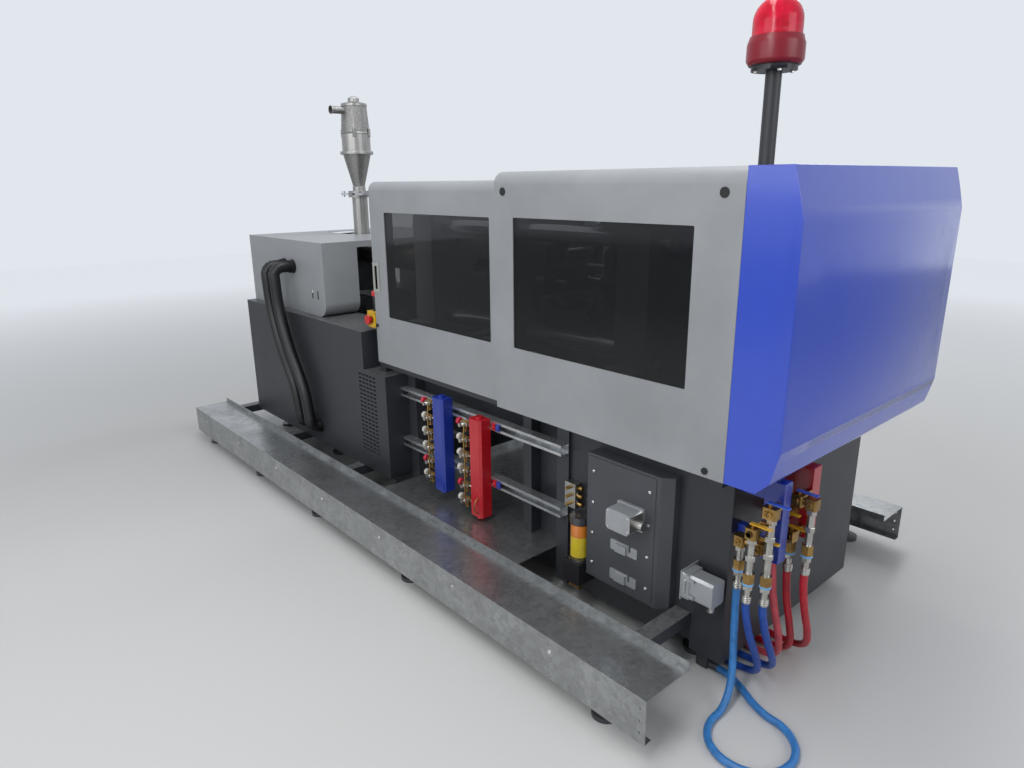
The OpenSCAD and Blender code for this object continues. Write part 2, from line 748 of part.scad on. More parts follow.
pump_x = box_x0 - 45;
pump_y = -clamp_cab_y - 46;
pump_z = 138;
pump_d = 70;
pump_h = 138;

module grease_pump() {
    base_h = 84;
    z0 = pump_z + base_h;
    z1 = z0 + 10;
    z2 = z1 + pump_h;
    color([0.13, 0.13, 0.14]) {
        span([pump_x - 42, pump_y - 44, pump_z], [pump_x + 40, -clamp_cab_y, z0]);
        bar_z(pump_x, pump_y, z0, z1, pump_d + 8);
    }
    color([0.85, 0.75, 0.15]) bar_z(pump_x, pump_y, z1, z2, pump_d);
    color([0.13, 0.13, 0.14]) {
        bar_z(pump_x, pump_y, z2, z2 + 26, pump_d + 6);
        bar_x(pump_x - 20, pump_x + 30, pump_y - 24, pump_z - 16, 18);
        bar_z(pump_x + 5, pump_y - 24, pump_z - 16, pump_z, 18);
    }
    // Distributor block for the lubricant, with its metering outlets
    block_x = pump_x - 90;
    block_z = pump_z + 262;
    color([0.7, 0.71, 0.72]) span([block_x, -clamp_cab_y - 34, block_z], [block_x + 52, -clamp_cab_y, block_z + 96]);
    color([0.75, 0.6, 0.3]) for (i = [0 : 2]) {
        bar_x(block_x + 52, block_x + 74, -clamp_cab_y - 17, block_z + 16 + 32 * i, 16);
        bar_y(block_x + 26, -clamp_cab_y - 52, -clamp_cab_y - 34, block_z + 16 + 32 * i, 13);
    }
}

// Clamp cover, end cover, windows and doors

module hood_outline(inset) {
    r = cover_r - inset;
    w = cover_y - inset;
    top = cover_z1 - inset;
    translate([-w, cover_z0]) square([2 * w, top - cover_z0 - r]);
    translate([-w + r, cover_z0]) square([2 * (w - r), top - cover_z0]);
    for (y = [-w + r, w - r]) translate([y, top - r]) circle(r);
}

module clamp_cover() {
    wx = cover_x0 + 97;
    color([0.6, 0.61, 0.62]) difference() {
        union() {
            translate([cover_x0, 0, 0]) rotate([90, 0, 90]) linear_extrude(cover_l)
                difference() {
                    hood_outline(0);
                    hood_outline(cover_t);
                    translate([0, cover_z0 - 5]) square([2 * (cover_y - cover_t), 20], center = true);
                }
            both_sides() span([cover_x0, cover_y - 28, cover_z0],
                              [cover_x1, cover_y, cover_z0 + cover_t]);
        }
        both_sides() panel_y(wx, window_z, [window_l, window_h], 4,
                             cover_y - 2 * cover_t, cover_y + 1);
        bar_z(beacon_x, 0, cover_z1 - 2 * cover_t, cover_z1 + 1, pole_d - 14 + 2 * slide_gap);
    }
    color([0.1, 0.1, 0.1]) both_sides() for (p = [[cover_x1 - 60, cover_z1 - 65],
                                                  [cover_x0 + 46, cover_z1 - 66]])
        bar_y(p[0], cover_y, cover_y + 2, p[1], 28);
    color([0.15, 0.15, 0.15]) both_sides()
        bar_y(cover_x1 - 61, cover_y, cover_y + 5, cover_z0 + 20, 20);
}

module cover_windows() {
    wx = cover_x0 + 97;
    lap = 14;
    color([0.12, 0.13, 0.14, 0.6]) both_sides()
        panel_y(wx - lap, window_z - lap, [window_l + 2 * lap, window_h + 2 * lap], 10,
                cover_y - cover_t - pane_t, cover_y - cover_t);
}

// The end cover is a wide curved face, cut to shallow facets at its side edges
module end_solid(inset) {
    rise = (cover_z1 - cover_z0) / 2;
    r = (rise * rise + end_bulge * end_bulge) / (2 * end_bulge);
    w = cover_y - inset;
    intersection() {
        slab_y(-w, w) intersection() {
            translate([cover_x1, cover_z0]) square([end_depth, cover_z1 - cover_z0 - inset]);
            translate([end_x - r, cover_z0 + rise]) circle(r - inset, $fn = 160);
            translate([end_x - end_bulge - lower_cut - 1.4 * inset, cover_z0])
                polygon([[0, 0], [2 * end_depth, 2 * end_depth], [2 * end_depth, cover_z1],
                         [-end_depth, cover_z1], [-end_depth, 0]]);
        }
        linear_extrude(cover_z1) polygon([
            [cover_x1 - 1, -w], [end_x - facet_d - inset, -w], [end_x - inset, facet_w - w],
            [end_x - inset, w - facet_w], [end_x - facet_d - inset, w], [cover_x1 - 1, w]]);
    }
}

module end_cover() {
    color([0.25, 0.35, 0.85]) {
        difference() {
            end_solid(0);
            translate([-0.01, 0, -0.01]) end_solid(cover_t);
            translate([-cover_t, 0, -1]) end_solid(cover_t);
        }
        intersection() {
            end_solid(0);
            span([end_x - 105, -cover_y, cover_z0], [end_x, cover_y, cover_z0 + cover_t]);
        }
    }
}

// Frame that carries the doors: top guides, bottom seals and four posts
module door_frame() {
    x0 = door_x0;
    x1 = cover_x1 - 60;
    color([0.3, 0.31, 0.33]) both_sides() {
        span([x0, guide_y - 20, top_rail_z - 24], [x1, guide_y, top_rail_z]);
        span([x0, seal_y - seal_w, door_z0 - slide_gap - 22],
             [x1 + 40, seal_y, door_z0 - slide_gap]);
        for (x = [x0 + 10, x1])
            span([x, guide_y - 30, beam_z + 40], [x + 40, guide_y, top_rail_z - 24]);
        for (x = [x0 + 10, x1])
            span([x, beam_y1, beam_z + 10], [x + 40, seal_y, beam_z + 40]);
        span([x1, guide_y - 30, top_rail_z - 24], [x1 + 40, guide_y, cover_z1 - cover_t]);
        chute_side();
    }
}

chute_post_x = clamp_cab_x0 - 245;
chute_post_w = 45;
chute_web_z = 570;
chute_web_t = 6;

// Side of the parts chute: a web under the bed beam, a middle post, and a closed bay by the cabinet
module chute_side() {
    x0 = inj_cab_x1 + post_w;
    x1 = clamp_cab_x0 - post_w;
    slab_y(beam_y1 - chute_web_t, beam_y1) {
        translate([x0, chute_web_z]) square([chute_post_x - 35 - x0, beam_z - chute_web_z]);
        translate([chute_post_x, tray_z]) square([x1 - chute_post_x, beam_z - tray_z]);
    }
    span([chute_post_x, beam_y1, tray_z], [chute_post_x + chute_post_w, post_y, beam_z + 20]);
}

handle_x = 13;
handle_w = 30;
handle_z = 1086;
handle_h = 106;

module door_shell(window_x) {
    r = 40;
    h = door_z1 - door_z0;
    color([0.62, 0.63, 0.64]) difference() {
        union() {
            difference() {
                translate([door_x0, 0, 0]) rotate([90, 0, 90]) linear_extrude(door_l) {
                    translate([door_y - cover_t, door_z0]) square([cover_t, h - r]);
                    translate([guide_y - 40, door_z1 - cover_t])
                        square([door_y - r - guide_y + 40, cover_t]);
                    translate([door_y - r, door_z1 - r]) intersection() {
                        difference() {
                            circle(r);
                            circle(r - cover_t);
                        }
                        square(r);
                    }
                    translate([door_y - door_t, door_z0]) square([door_t, cover_t]);
                }
                panel_y(window_x, door_window_z, [door_window_l, door_window_h], 6,
                        door_y - 2 * cover_t, door_y + 1);
            }
            for (x = [door_x0, door_x1 - cover_t])
                span([x, door_y - door_t, door_z0], [x + cover_t, door_y - cover_t, door_z1 - r]);
            span([door_x0 + handle_x - 3, door_y - 20, handle_z - 3],
                 [door_x0 + handle_x + handle_w + 3, door_y - cover_t, handle_z + handle_h + 3]);
        }
        panel_y(door_x0 + handle_x, handle_z, [handle_w, handle_h], 6, door_y - 17, door_y + 1);
    }
}

module door_pane(window_x) {
    lap = 14;
    color([0.12, 0.13, 0.14, 0.6])
        panel_y(window_x - lap, door_window_z - lap,
                [door_window_l + 2 * lap, door_window_h + 2 * lap], 10,
                door_y - cover_t - pane_t, door_y - cover_t);
}

door_window_x = door_x0 + 115;

module near_door() {
    mirror([0, 1, 0]) door_shell(door_window_x);
}

module near_door_window() {
    mirror([0, 1, 0]) door_pane(door_window_x);
}

module far_door() {
    door_shell(door_window_x);
}

module far_door_window() {
    door_pane(door_window_x);
}

// Warning beacon

ring_z0 = pole_z + 15;
ring_z1 = ring_z0 + 83;

module beacon_pole() {
    color([0.3, 0.32, 0.34]) {
        bar_z(beacon_x, 0, cover_z1, cover_z1 + 8, pole_d + 50);
        bar_z(beacon_x, 0, cover_z1 - 60, pole_z, pole_d - 14);
        bar_z(beacon_x, 0, cover_z1 + 8, pole_z, pole_d);
        bar_z(beacon_x, 0, pole_z, ring_z0, 140);
        for (a = [45 : 90 : 315])
            translate([beacon_x + 56 * cos(a), 56 * sin(a), pole_z - 6]) cylinder(h = 6, d = 13, $fn = 6);
    }
    color([0.5, 0.05, 0.12]) {
        translate([beacon_x, 0, ring_z0]) rotate_extrude()
            polygon([[0, 0], [78, 0], [87, 14], [87, 60], [80, ring_z1 - ring_z0], [0, ring_z1 - ring_z0]]);
        bar_z(beacon_x, 0, ring_z1, ring_z1 + 12, 40);
        bar_z(beacon_x, 0, ring_z1 + 12, ring_z1 + 62, 20);
    }
}

module dome_profile(inset) {
    r = dome_d / 2 - inset;
    top = dome_z - ring_z1 - inset;
    round_r = 34 - inset;
    square([r, top - round_r]);
    square([r - round_r, top]);
    translate([r - round_r, top - round_r]) circle(round_r);
}

module beacon_dome() {
    color([0.9, 0.05, 0.2, 0.6]) translate([beacon_x, 0, ring_z1]) rotate_extrude()
        intersection() {
            difference() {
                dome_profile(0);
                translate([0, -1]) dome_profile(3);
                square([dome_d / 2 - 3, 4]);
            }
            square([dome_d, dome_z]);
        }
}

module beacon_reflector() {
    z0 = ring_z1 + 12 + slide_gap;
    color([0.85, 0.86, 0.88]) translate([beacon_x, 0, 0]) {
        difference() {
            union() {
                bar_z(0, 0, z0, z0 + 8, 84);
                difference() {
                    bar_z(0, 0, z0 + 8, z0 + 66, 84);
                    bar_z(0, 0, z0 + 7, z0 + 67, 78);
                    span([0, -50, z0 + 7], [50, 50, z0 + 67]);
                }
            }
            bar_z(0, 0, z0 - 1, z0 + 9, 20 + 2 * run_gap);
        }
    }
}

// Platens and tie bars

module platen_plate(x0, t) {
    c = 40;
    translate([x0, 0, axis_z]) rotate([90, 0, 90]) linear_extrude(t) difference() {
        polygon([[-platen_h + c, -platen_h], [platen_h - c, -platen_h], [platen_h, -platen_h + c],
                 [platen_h, platen_h - c], [platen_h - c, platen_h], [-platen_h + c, platen_h],
                 [-platen_h, platen_h - c], [-platen_h, -platen_h + c]]);
        for (y = [-1, 1], z = [-1, 1])
            translate([y * tie_pitch / 2, z * tie_pitch / 2]) circle(d = tie_d + 2 * run_gap);
    }
}

module screw_holes(x0, x1) {
    for (y = [-1, 1], z = [-1, 1])
        bar_x(x0, x1, y * screw_pitch_y / 2, axis_z + z * screw_pitch_z / 2, screw_hole_d);
}

module platen_feet(x0, t, z0) {
    both_sides() span([x0, platen_h - 45, z0], [x0 + t, platen_h - 45 + foot_w, platen_z0 + 60]);
}

module fixed_platen() {
    color([0.78, 0.78, 0.8]) difference() {
        union() {
            platen_plate(fixed_x0, fixed_t);
            platen_feet(fixed_x0, fixed_t, beam_top);
        }
        bar_x(mould_x - 30, mould_x + 1, 0, axis_z, locating_d);
        bar_x(fixed_x0 - 1, mould_x + 1, 0, axis_z, 70);
        translate([fixed_x0 - 1, 0, axis_z]) rotate([0, 90, 0]) cylinder(h = 71, d1 = 210, d2 = 70);
        screw_holes(mould_x - 35, mould_x + 1);
    }
}

module moving_platen() {
    color([0.76, 0.76, 0.78]) difference() {
        union() {
            platen_plate(moving_x0, moving_t);
            platen_feet(moving_x0, moving_t, way_top + slide_gap);
            both_ends_z() both_sides() translate([moving_x1 - 5, 0, axis_z + pivot_h])
                slab_y(rear_link_y0, rear_link_y0 + link_t) {
                    translate([0, -eye_r]) square([lug_reach + 5, 2 * eye_r]);
                    translate([lug_reach + 5, 0]) circle(eye_r);
                }
            for (y = [-120, 120]) bar_x(moving_x1 - 5, moving_x1 + 175, y, axis_z, 24);
        }
        both_ends_z() translate([front_pivot_x, 0, axis_z + pivot_h]) slab_y(-200, 200) {
            circle(d = pin_d + 1);
            translate([-slot_run - 2, 0]) circle(d = pin_d + 1);
            translate([-slot_run - 2, -pin_d / 2 - 0.5]) square([slot_run + 2, pin_d + 1]);
        }
        bar_x(moving_x0 - 1, moving_x1 + 1, 0, axis_z, 42);
        screw_holes(moving_x0 - 1, moving_x0 + 35);
    }
}

module ejector_plate() {
    x0 = moving_x1 + 75;
    color([0.55, 0.57, 0.6]) difference() {
        union() {
            span([x0, -152, axis_z - 50], [x0 + 25, 152, axis_z + 50]);
            bar_x(moving_x0 + 20, x0 + 1, 0, axis_z, 42 - 2 * run_gap);
            for (y = [-120, 120]) bar_x(x0 - 14, x0 + 39, y, axis_z, 46);
        }
        for (y = [-120, 120]) bar_x(x0 - 20, x0 + 60, y, axis_z, 24 + 2 * run_gap);
    }
}

module rear_platen() {
    color([0.76, 0.76, 0.78]) {
        difference() {
            union() {
                platen_plate(rear_x0, rear_t);
                platen_feet(rear_x0, rear_t, beam_top);
                both_ends_z() both_sides() translate([rear_pivot_x, 0, axis_z + pivot_h])
                    slab_y(front_link_y0, pin_half) {
                        circle(eye_r);
                        translate([0, -eye_r]) square([rear_x0 - rear_pivot_x + 5, 2 * eye_r]);
                    }
            }
            bar_x(rear_x0 - 1, rear_x1 + 1, 0, axis_z, ball_screw_d + 2 * run_gap);
        }
        both_ends_z() bar_y(rear_pivot_x, -pin_half, pin_half, axis_z + pivot_h, pin_d);
        for (z = [-62, 62]) bar_x(rear_pivot_x - 340, rear_x0 + 5, 0, axis_z + z, 24);
    }
}

module tie_bars() {
    over = 20;
    color([0.85, 0.86, 0.88]) for (y = [-1, 1], z = [-1, 1]) {
        bar_x(fixed_x0 - nut_t - over, rear_x1 + nut_t + 8, y * tie_pitch / 2,
              axis_z + z * tie_pitch / 2, tie_d);
        for (x = [fixed_x0 - nut_t, rear_x1])
            translate([x, y * tie_pitch / 2, axis_z + z * tie_pitch / 2]) rotate([0, 90, 0])
                cylinder(h = nut_t, d = nut_d);
    }
}

// Toggle: every link is a pair of plates, drawn in its open position

module link_plate(a, b, y0, y1, r) {
    along = b - a;
    l = norm(along);
    angle = atan2(along[1], along[0]);
    slab_y(y0, y1) translate(a) rotate(angle) {
        circle(r);
        translate([l, 0]) circle(r);
        translate([0, -0.8 * r]) square([l, 1.6 * r]);
    }
}

module pin_bore(p) {
    slab_y(-200, 200) translate(p) circle(d = pin_d + 2 * run_gap);
}

rear_pin = [rear_pivot_x, axis_z + pivot_h];
front_pin = [front_pivot_x, axis_z + pivot_h];
knee_pin = [knee_x, axis_z + knee_h];
elbow_pin = [elbow_x, axis_z + elbow_h];
crosshead_pin = [crosshead_x, axis_z + pivot_h];

module rear_link() {
    color([0.5, 0.52, 0.55]) difference() {
        both_sides() link_plate(rear_pin, knee_pin, rear_link_y0, rear_link_y0 + link_t, eye_r);
        pin_bore(rear_pin);
        pin_bore(knee_pin);
        pin_bore(elbow_pin);
    }
}

module front_link() {
    color([0.55, 0.57, 0.6]) {
        both_sides() link_plate(knee_pin, front_pin, front_link_y0, pin_half, eye_r);
        for (p = [knee_pin, front_pin]) slab_y(-pin_half, pin_half) translate(p) circle(d = pin_d);
    }
}

module short_link() {
    inner = short_y0;
    outer = short_y0 + link_t - 1;
    color([0.45, 0.47, 0.5]) {
        both_sides() link_plate(elbow_pin, crosshead_pin, inner, outer, 30);
        slab_y(-rear_link_y0 - link_t, rear_link_y0 + link_t) translate(elbow_pin) circle(d = pin_d);
        slab_y(-outer, outer) translate(crosshead_pin) circle(d = 36);
    }
}

module mirrored_z() {
    translate([0, 0, 2 * axis_z]) mirror([0, 0, 1]) children();
}

module rear_link_top() { rear_link(); }
module front_link_top() { front_link(); }
module short_link_top() { short_link(); }
module rear_link_bottom() { mirrored_z() rear_link(); }
module front_link_bottom() { mirrored_z() front_link(); }
module short_link_bottom() { mirrored_z() short_link(); }

module crosshead() {
    color([0.6, 0.62, 0.64]) difference() {
        union() {
            slab_y(-lug_half, lug_half) {
                translate([crosshead_x - 52, axis_z - pivot_h]) square([90, 2 * pivot_h]);
                for (z = [-pivot_h, pivot_h]) {
                    translate([crosshead_x - 14, axis_z + z]) circle(38);
                    translate([crosshead_x, axis_z + z]) circle(38);
                }
            }
            bar_x(crosshead_x - 70, crosshead_x + 60, 0, axis_z, 84);
        }
        for (z = [-pivot_h, pivot_h]) translate([crosshead_x, 0, axis_z + z]) slab_y(-200, 200) {
            circle(d = 37);
            translate([-short_slot_run - 2, 0]) circle(d = 37);
            translate([-short_slot_run - 2, -18.5]) square([short_slot_run + 2, 37]);
        }
        bar_x(crosshead_x - 90, crosshead_x + 90, 0, axis_z, ball_screw_d + 2 * run_gap);
        for (z = [-62, 62]) bar_x(crosshead_x - 90, crosshead_x + 90, 0, axis_z + z, 24 + 2 * run_gap);
    }
}

// Clamp drive: ball screw, toothed belt and motor

module drive_screw() {
    color([0.7, 0.71, 0.73]) {
        bar_x(rear_pivot_x - 330, pulley_x0 + pulley_w + 6, 0, axis_z, ball_screw_d);
        bar_x(pulley_x0, pulley_x0 + pulley_w, 0, axis_z, big_pulley_d);
        bar_x(rear_x1 + slide_gap, pulley_x0, 0, axis_z, ball_screw_d + 30);
    }
}

module motor_pulley() {
    color([0.45, 0.46, 0.48]) {
        bar_x(pulley_x0, pulley_x0 + pulley_w, motor_y, motor_z, small_pulley_d);
        bar_x(pulley_x0, bracket_x0 + bracket_t, motor_y, motor_z, 38);
    }
}

// Points of the open loop round both pulleys, one arc after the other
module belt_outline(grow) {
    r1 = big_pulley_d / 2 + grow;
    r2 = small_pulley_d / 2 + grow;
    d = [motor_y, motor_z - axis_z];
    a = atan2(d[1], d[0]);
    b = acos((r1 - r2) / norm(d));
    steps = 32;
    polygon(concat([for (i = [0 : steps]) let (q = a + b + (360 - 2 * b) * i / steps)
                        r1 * [cos(q), sin(q)]],
                   [for (i = [0 : steps]) let (q = a - b + 2 * b * i / steps)
                        d + r2 * [cos(q), sin(q)]]));
}

module drive_belt() {
    color([0.1, 0.1, 0.1]) translate([pulley_x0 + 3, 0, axis_z]) rotate([90, 0, 90])
        linear_extrude(pulley_w - 6) difference() {
            belt_outline(slide_gap + belt_t);
            belt_outline(slide_gap + 0.2);
        }
}

module clamp_motor() {
    x1 = bracket_x0 + bracket_t;
    color([0.16, 0.16, 0.17]) {
        difference() {
            union() {
                span([bracket_x0, motor_y - 105, motor_z - 125], [x1, motor_y + 350, motor_z + 120]);
                for (q = [[-10, 100], [-10, -110], [250, -100], [330, 10]])
                    bar_x(rear_x1, bracket_x0, motor_y + q[0], motor_z + q[1], 28);
            }
            bar_x(bracket_x0 - 1, x1 + 1, motor_y, motor_z, 38 + 2 * run_gap);
            bar_x(bracket_x0 - 1, x1 + 1, 0, axis_z, ball_screw_d + 40);
        }
        difference() {
            span([x1, motor_y - motor_w / 2, motor_z - motor_w / 2],
                 [x1 + 230, motor_y + motor_w / 2, motor_z + motor_w / 2]);
            for (i = [0 : 5], side = [-1, 1])
                translate([x1 + 110, motor_y + (i - 2.5) * 26, motor_z + side * motor_w / 2])
                    cube([160, 9, 20], center = true);
            bar_x(x1 - 1, x1 + 40, motor_y, motor_z, 42);
        }
        bar_x(x1 + 230, x1 + 270, motor_y, motor_z, motor_w - 40);
    }
}

// Injection unit

module injection_cover() {
    x0 = inj_cab_x0;
    h = inj_cover_z - inj_cab_z;
    color([0.6, 0.61, 0.62]) difference() {
        slab_y(-inj_cover_y, inj_cover_y) {
            translate([x0, inj_cab_z]) square([inj_cover_x1 - x0 - 70, h]);
            translate([x0, inj_cab_z + 70]) square([inj_cover_x1 - x0, h - 70]);
            translate([inj_cover_x1 - 70, inj_cab_z + 70]) circle(70);
        }
        slab_y(-inj_cover_y + sheet_t, inj_cover_y - sheet_t) {
            translate([x0 - 1, inj_cab_z - 1]) square([inj_cover_x1 - x0 - 69, h - sheet_t + 1]);
            translate([x0 - 1, inj_cab_z + 70])
                square([inj_cover_x1 - x0 - sheet_t + 1, h - 70 - sheet_t]);
            translate([inj_cover_x1 - 70, inj_cab_z + 70]) circle(70 - sheet_t);
        }
        span([inj_cover_x1 - 90, -well_y, inj_cab_z - 1],
             [inj_cover_x1 + 1, well_y, axis_z + heater_d / 2 + 15]);
        translate([0, 0, inj_cover_z - 2 * sheet_t]) linear_extrude(3 * sheet_t)
            translate([hopper_x - 290, -80]) round_rect([370, 160], 20);
        both_sides() for (x = [inj_cover_x1 - 90, inj_cover_x1 - 150])
            panel_y(x, inj_cab_z + 85, [16, 48], 7.9, inj_cover_y - 2 * sheet_t, inj_cover_y + 1);
    }
}

module carriage_plate(x0, t) {
    span([x0, -carriage_w / 2, carriage_z0], [x0 + t, carriage_w / 2, carriage_z1]);
}

rod_y = 140;
rod_z = 75;

module injection_carriage() {
    color([0.42, 0.43, 0.45]) {
        difference() {
            carriage_plate(feed_x0, plate_t);
            bar_x(feed_x0 - 1, feed_x1 + 1, 0, axis_z, barrel_d + 2 * run_gap);
            bar_z(hopper_x, 0, axis_z, carriage_z1 + 1, throat_d);
        }
        difference() {
            carriage_plate(back_x1 - back_t, back_t);
            bar_x(back_x1 - back_t - 1, back_x1 + 1, 0, axis_z, 60);
        }
        for (y = [-rod_y, rod_y], z = [-rod_z, rod_z])
            bar_x(back_x1 - back_t - 8, feed_x0 + 5, y, axis_z + z - 10, rod_d);
        both_sides() span([back_x1 - back_t, inj_rail_y - 34, carriage_z0],
                          [feed_x1, inj_rail_y + 34, carriage_z0 + 40]);
    }
    color([0.15, 0.15, 0.16]) {
        span([back_x1 - back_t - 60, -150, axis_z - 120], [back_x1 - back_t, -30, axis_z + 60]);
        bar_x(back_x1 - back_t, back_x1 + 14, 90, axis_z - 60, 36);
    }
}

module barrel() {
    color([0.62, 0.6, 0.56]) difference() {
        union() {
            bar_x(feed_x0, barrel_x1, 0, axis_z, barrel_d);
            for (x = [feed_x1 + 60 : 150 : barrel_x1 - 120]) bar_x(x, x + 110, 0, axis_z, heater_d);
            bar_x(barrel_x1, barrel_x1 + 80, 0, axis_z, 66);
            bar_x(barrel_x1 + 80, nozzle_x - 25, 0, axis_z, 40);
            translate([nozzle_x - 25, 0, axis_z]) rotate([0, 90, 0]) cylinder(h = 25, d1 = 40, d2 = 20);
        }
        bar_x(feed_x0 - 1, barrel_x1 - 20, 0, axis_z, screw_d + 2 * run_gap);
        bar_x(barrel_x1 - 21, nozzle_x + 1, 0, axis_z, 5);
        bar_z(hopper_x, 0, axis_z, axis_z + barrel_d, throat_d / 2);
    }
}

module plasticizing_screw() {
    root = 0.74 * screw_d;
    tip = 24;
    x1 = barrel_x1 - 20 - tip - 6;
    x2 = pusher_x1 + slide_gap;
    turns = floor((x1 - hopper_x - 20) / screw_d);
    color([0.75, 0.76, 0.78]) {
        bar_x(hopper_x - 40, x1, 0, axis_z, root);
        bar_x(x2, hopper_x - 40, 0, axis_z, screw_d);
        translate([x1, 0, axis_z]) rotate([0, 90, 0]) cylinder(h = tip, d1 = root, d2 = 5);
        for (i = [1 : turns]) bar_x(x1 - i * screw_d, x1 - i * screw_d + 5, 0, axis_z, screw_d);
        bar_x(x2 - slide_gap - pusher_t + 8, x2, 0, axis_z, 30);
    }
}

module pusher_plate() {
    x0 = pusher_x1 - pusher_t;
    color([0.48, 0.49, 0.52]) difference() {
        span([x0, -carriage_w / 2, axis_z - 130], [pusher_x1, carriage_w / 2, axis_z + 92]);
        for (y = [-rod_y, rod_y], z = [-rod_z, rod_z])
            bar_x(x0 - 1, pusher_x1 + 1, y, axis_z + z - 10, rod_d + 2 * run_gap);
        bar_x(x0 + 8, pusher_x1 + 1, 0, axis_z, 30 + 2 * run_gap);
    }
    color([0.15, 0.15, 0.16]) bar_x(pusher_x1, pusher_x1 + 60, -80, axis_z - 70, 90);
}

module hopper() {
    tube_d = 90;
    body_d = 240;
    top_z = 2030;
    cone_z = 1530;
    flange_z = 1715;
    gap = slide_gap;
    color([0.66, 0.67, 0.68]) translate([hopper_x, 0, 0]) {
        difference() {
            union() {
                bar_z(0, 0, carriage_z1, carriage_z1 + 14, 150);
                bar_z(0, 0, carriage_z1 + 14, gate_z - gap, tube_d);
                bar_z(0, 0, gate_z - 12 - gap, gate_z - gap, 130);
                bar_z(0, 0, gate_z + 10 + gap, gate_z + 24 + gap, 130);
                translate([0, 0, gate_z + 24 + gap]) cylinder(h = cone_z - gate_z - 24, d = tube_d);
                translate([0, 0, cone_z]) cylinder(h = flange_z - cone_z, d1 = tube_d, d2 = body_d);
                bar_z(0, 0, flange_z, top_z - 150, body_d);
                bar_z(0, 0, flange_z, flange_z + 10, body_d + 24);
                for (y = [-58, 58]) span([-20, y - 5, gate_z - gap - 0.01], [20, y + 5, gate_z + 10 + gap + 0.01]);
            }
            bar_z(0, 0, carriage_z1 - 1, cone_z, throat_d);
            translate([0, 0, cone_z - 0.01])
                cylinder(h = flange_z - cone_z, d1 = throat_d, d2 = body_d - 8);
            bar_z(0, 0, flange_z - 0.02, top_z - 170, body_d - 8);
        }
        bar_z(0, 0, top_z - 150, top_z - 138, body_d + 16);
        bar_z(0, 0, top_z - 138, top_z - 20, 150);
        bar_z(0, 0, top_z - 20, top_z, 120);
        bar_y(0, -150, 0, top_z - 80, 46);
    }
}

module hopper_gate() {
    color([0.8, 0.8, 0.82]) difference() {
        union() {
            span([hopper_x - 50, -52, gate_z], [hopper_x + 122, 52, gate_z + 10]);
            span([hopper_x - 200, -15, gate_z], [hopper_x - 49, 15, gate_z + 10]);
            bar_z(hopper_x - 188, 0, gate_z - 12, gate_z + 22, 20);
        }
        bar_z(hopper_x, 0, gate_z - 1, gate_z + 11, throat_d);
    }
}

duct_d = 62;
duct_r = 44;
duct_y = -inj_cab_y - duct_r - 12;

// Points of a quarter bend in a plane across X
function quarter(x, y, z, a0) = [for (i = [0 : 4]) let (a = a0 + 22.5 * i)
    [x, y + duct_r * cos(a), z + duct_r * sin(a)]];

// One flexible duct, from the cover's side down to the foot of the cabinet
module duct(x_top, x_low, z_top, z_low) {
    y0 = -inj_cover_y;
    y1 = -inj_cab_y;
    fall = z_top - z_low;
    swept_tube(concat([[x_top, y0 - 6, z_top]],
                      quarter(x_top, duct_y + duct_r, z_top - duct_r, 90),
                      [[x_top + 26, duct_y, z_top - 0.28 * fall],
                       [(x_top + x_low) / 2 - 30, duct_y, z_top - 0.52 * fall],
                       [x_low - 40, duct_y, z_top - 0.76 * fall]],
                      quarter(x_low, duct_y + duct_r, z_low + duct_r, 180),
                      [[x_low, y1 - 4, z_low]]),
               duct_d, 12);
    bar_y(x_top, y0 - 14, y0, z_top, duct_d + 16);
    bar_y(x_low, y1 - 8, y1, z_low, duct_d + 14);
}

duct_top_z = 1120;
duct_foot_z = 290;
duct_top_x = [hopper_x + 140, hopper_x + 40];
duct_foot_x = [hopper_x + 420, hopper_x + 310];

module cooling_ducts() {
    color([0.08, 0.08, 0.09]) for (i = [0, 1])
        duct(duct_top_x[i], duct_foot_x[i], duct_top_z, duct_foot_z);
}

// Emergency stops and operator panel

estop_x = door_x0 - 45;
estop_z = 936;

module estop_station() {
    y1 = -guide_y - 4;
    color([0.9, 0.72, 0.1]) difference() {
        span([estop_x - 36, -door_y, estop_z - 38], [estop_x + 36, y1, estop_z + 38]);
        bar_y(estop_x, -door_y - 1, 30 - door_y, estop_z, 22);
    }
    color([0.3, 0.31, 0.33])
        span([estop_x - 30, y1, estop_z - 30], [door_x0 + 30, y1 + 4, estop_z + 30]);
    color([0.8, 0.1, 0.1]) bar_z(estop_x, 28 - door_y, estop_z + 38, estop_z + 130, 20);
}

module mushroom(x, y, z) {
    translate([x, y, z]) rotate([90, 0, 0]) {
        cylinder(h = 29, d = 22 - 2 * run_gap);
        translate([0, 0, 26]) cylinder(h = 8, d1 = 32, d2 = 44);
        translate([0, 0, 34]) cylinder(h = 9, d = 44);
    }
}

module estop_button() {
    color([0.85, 0.1, 0.1]) mushroom(estop_x, 20 - door_y, estop_z);
}

panel_x = -560;
panel_l = 330;
panel_z = 1120;
panel_h = 360;
panel_y = 545;

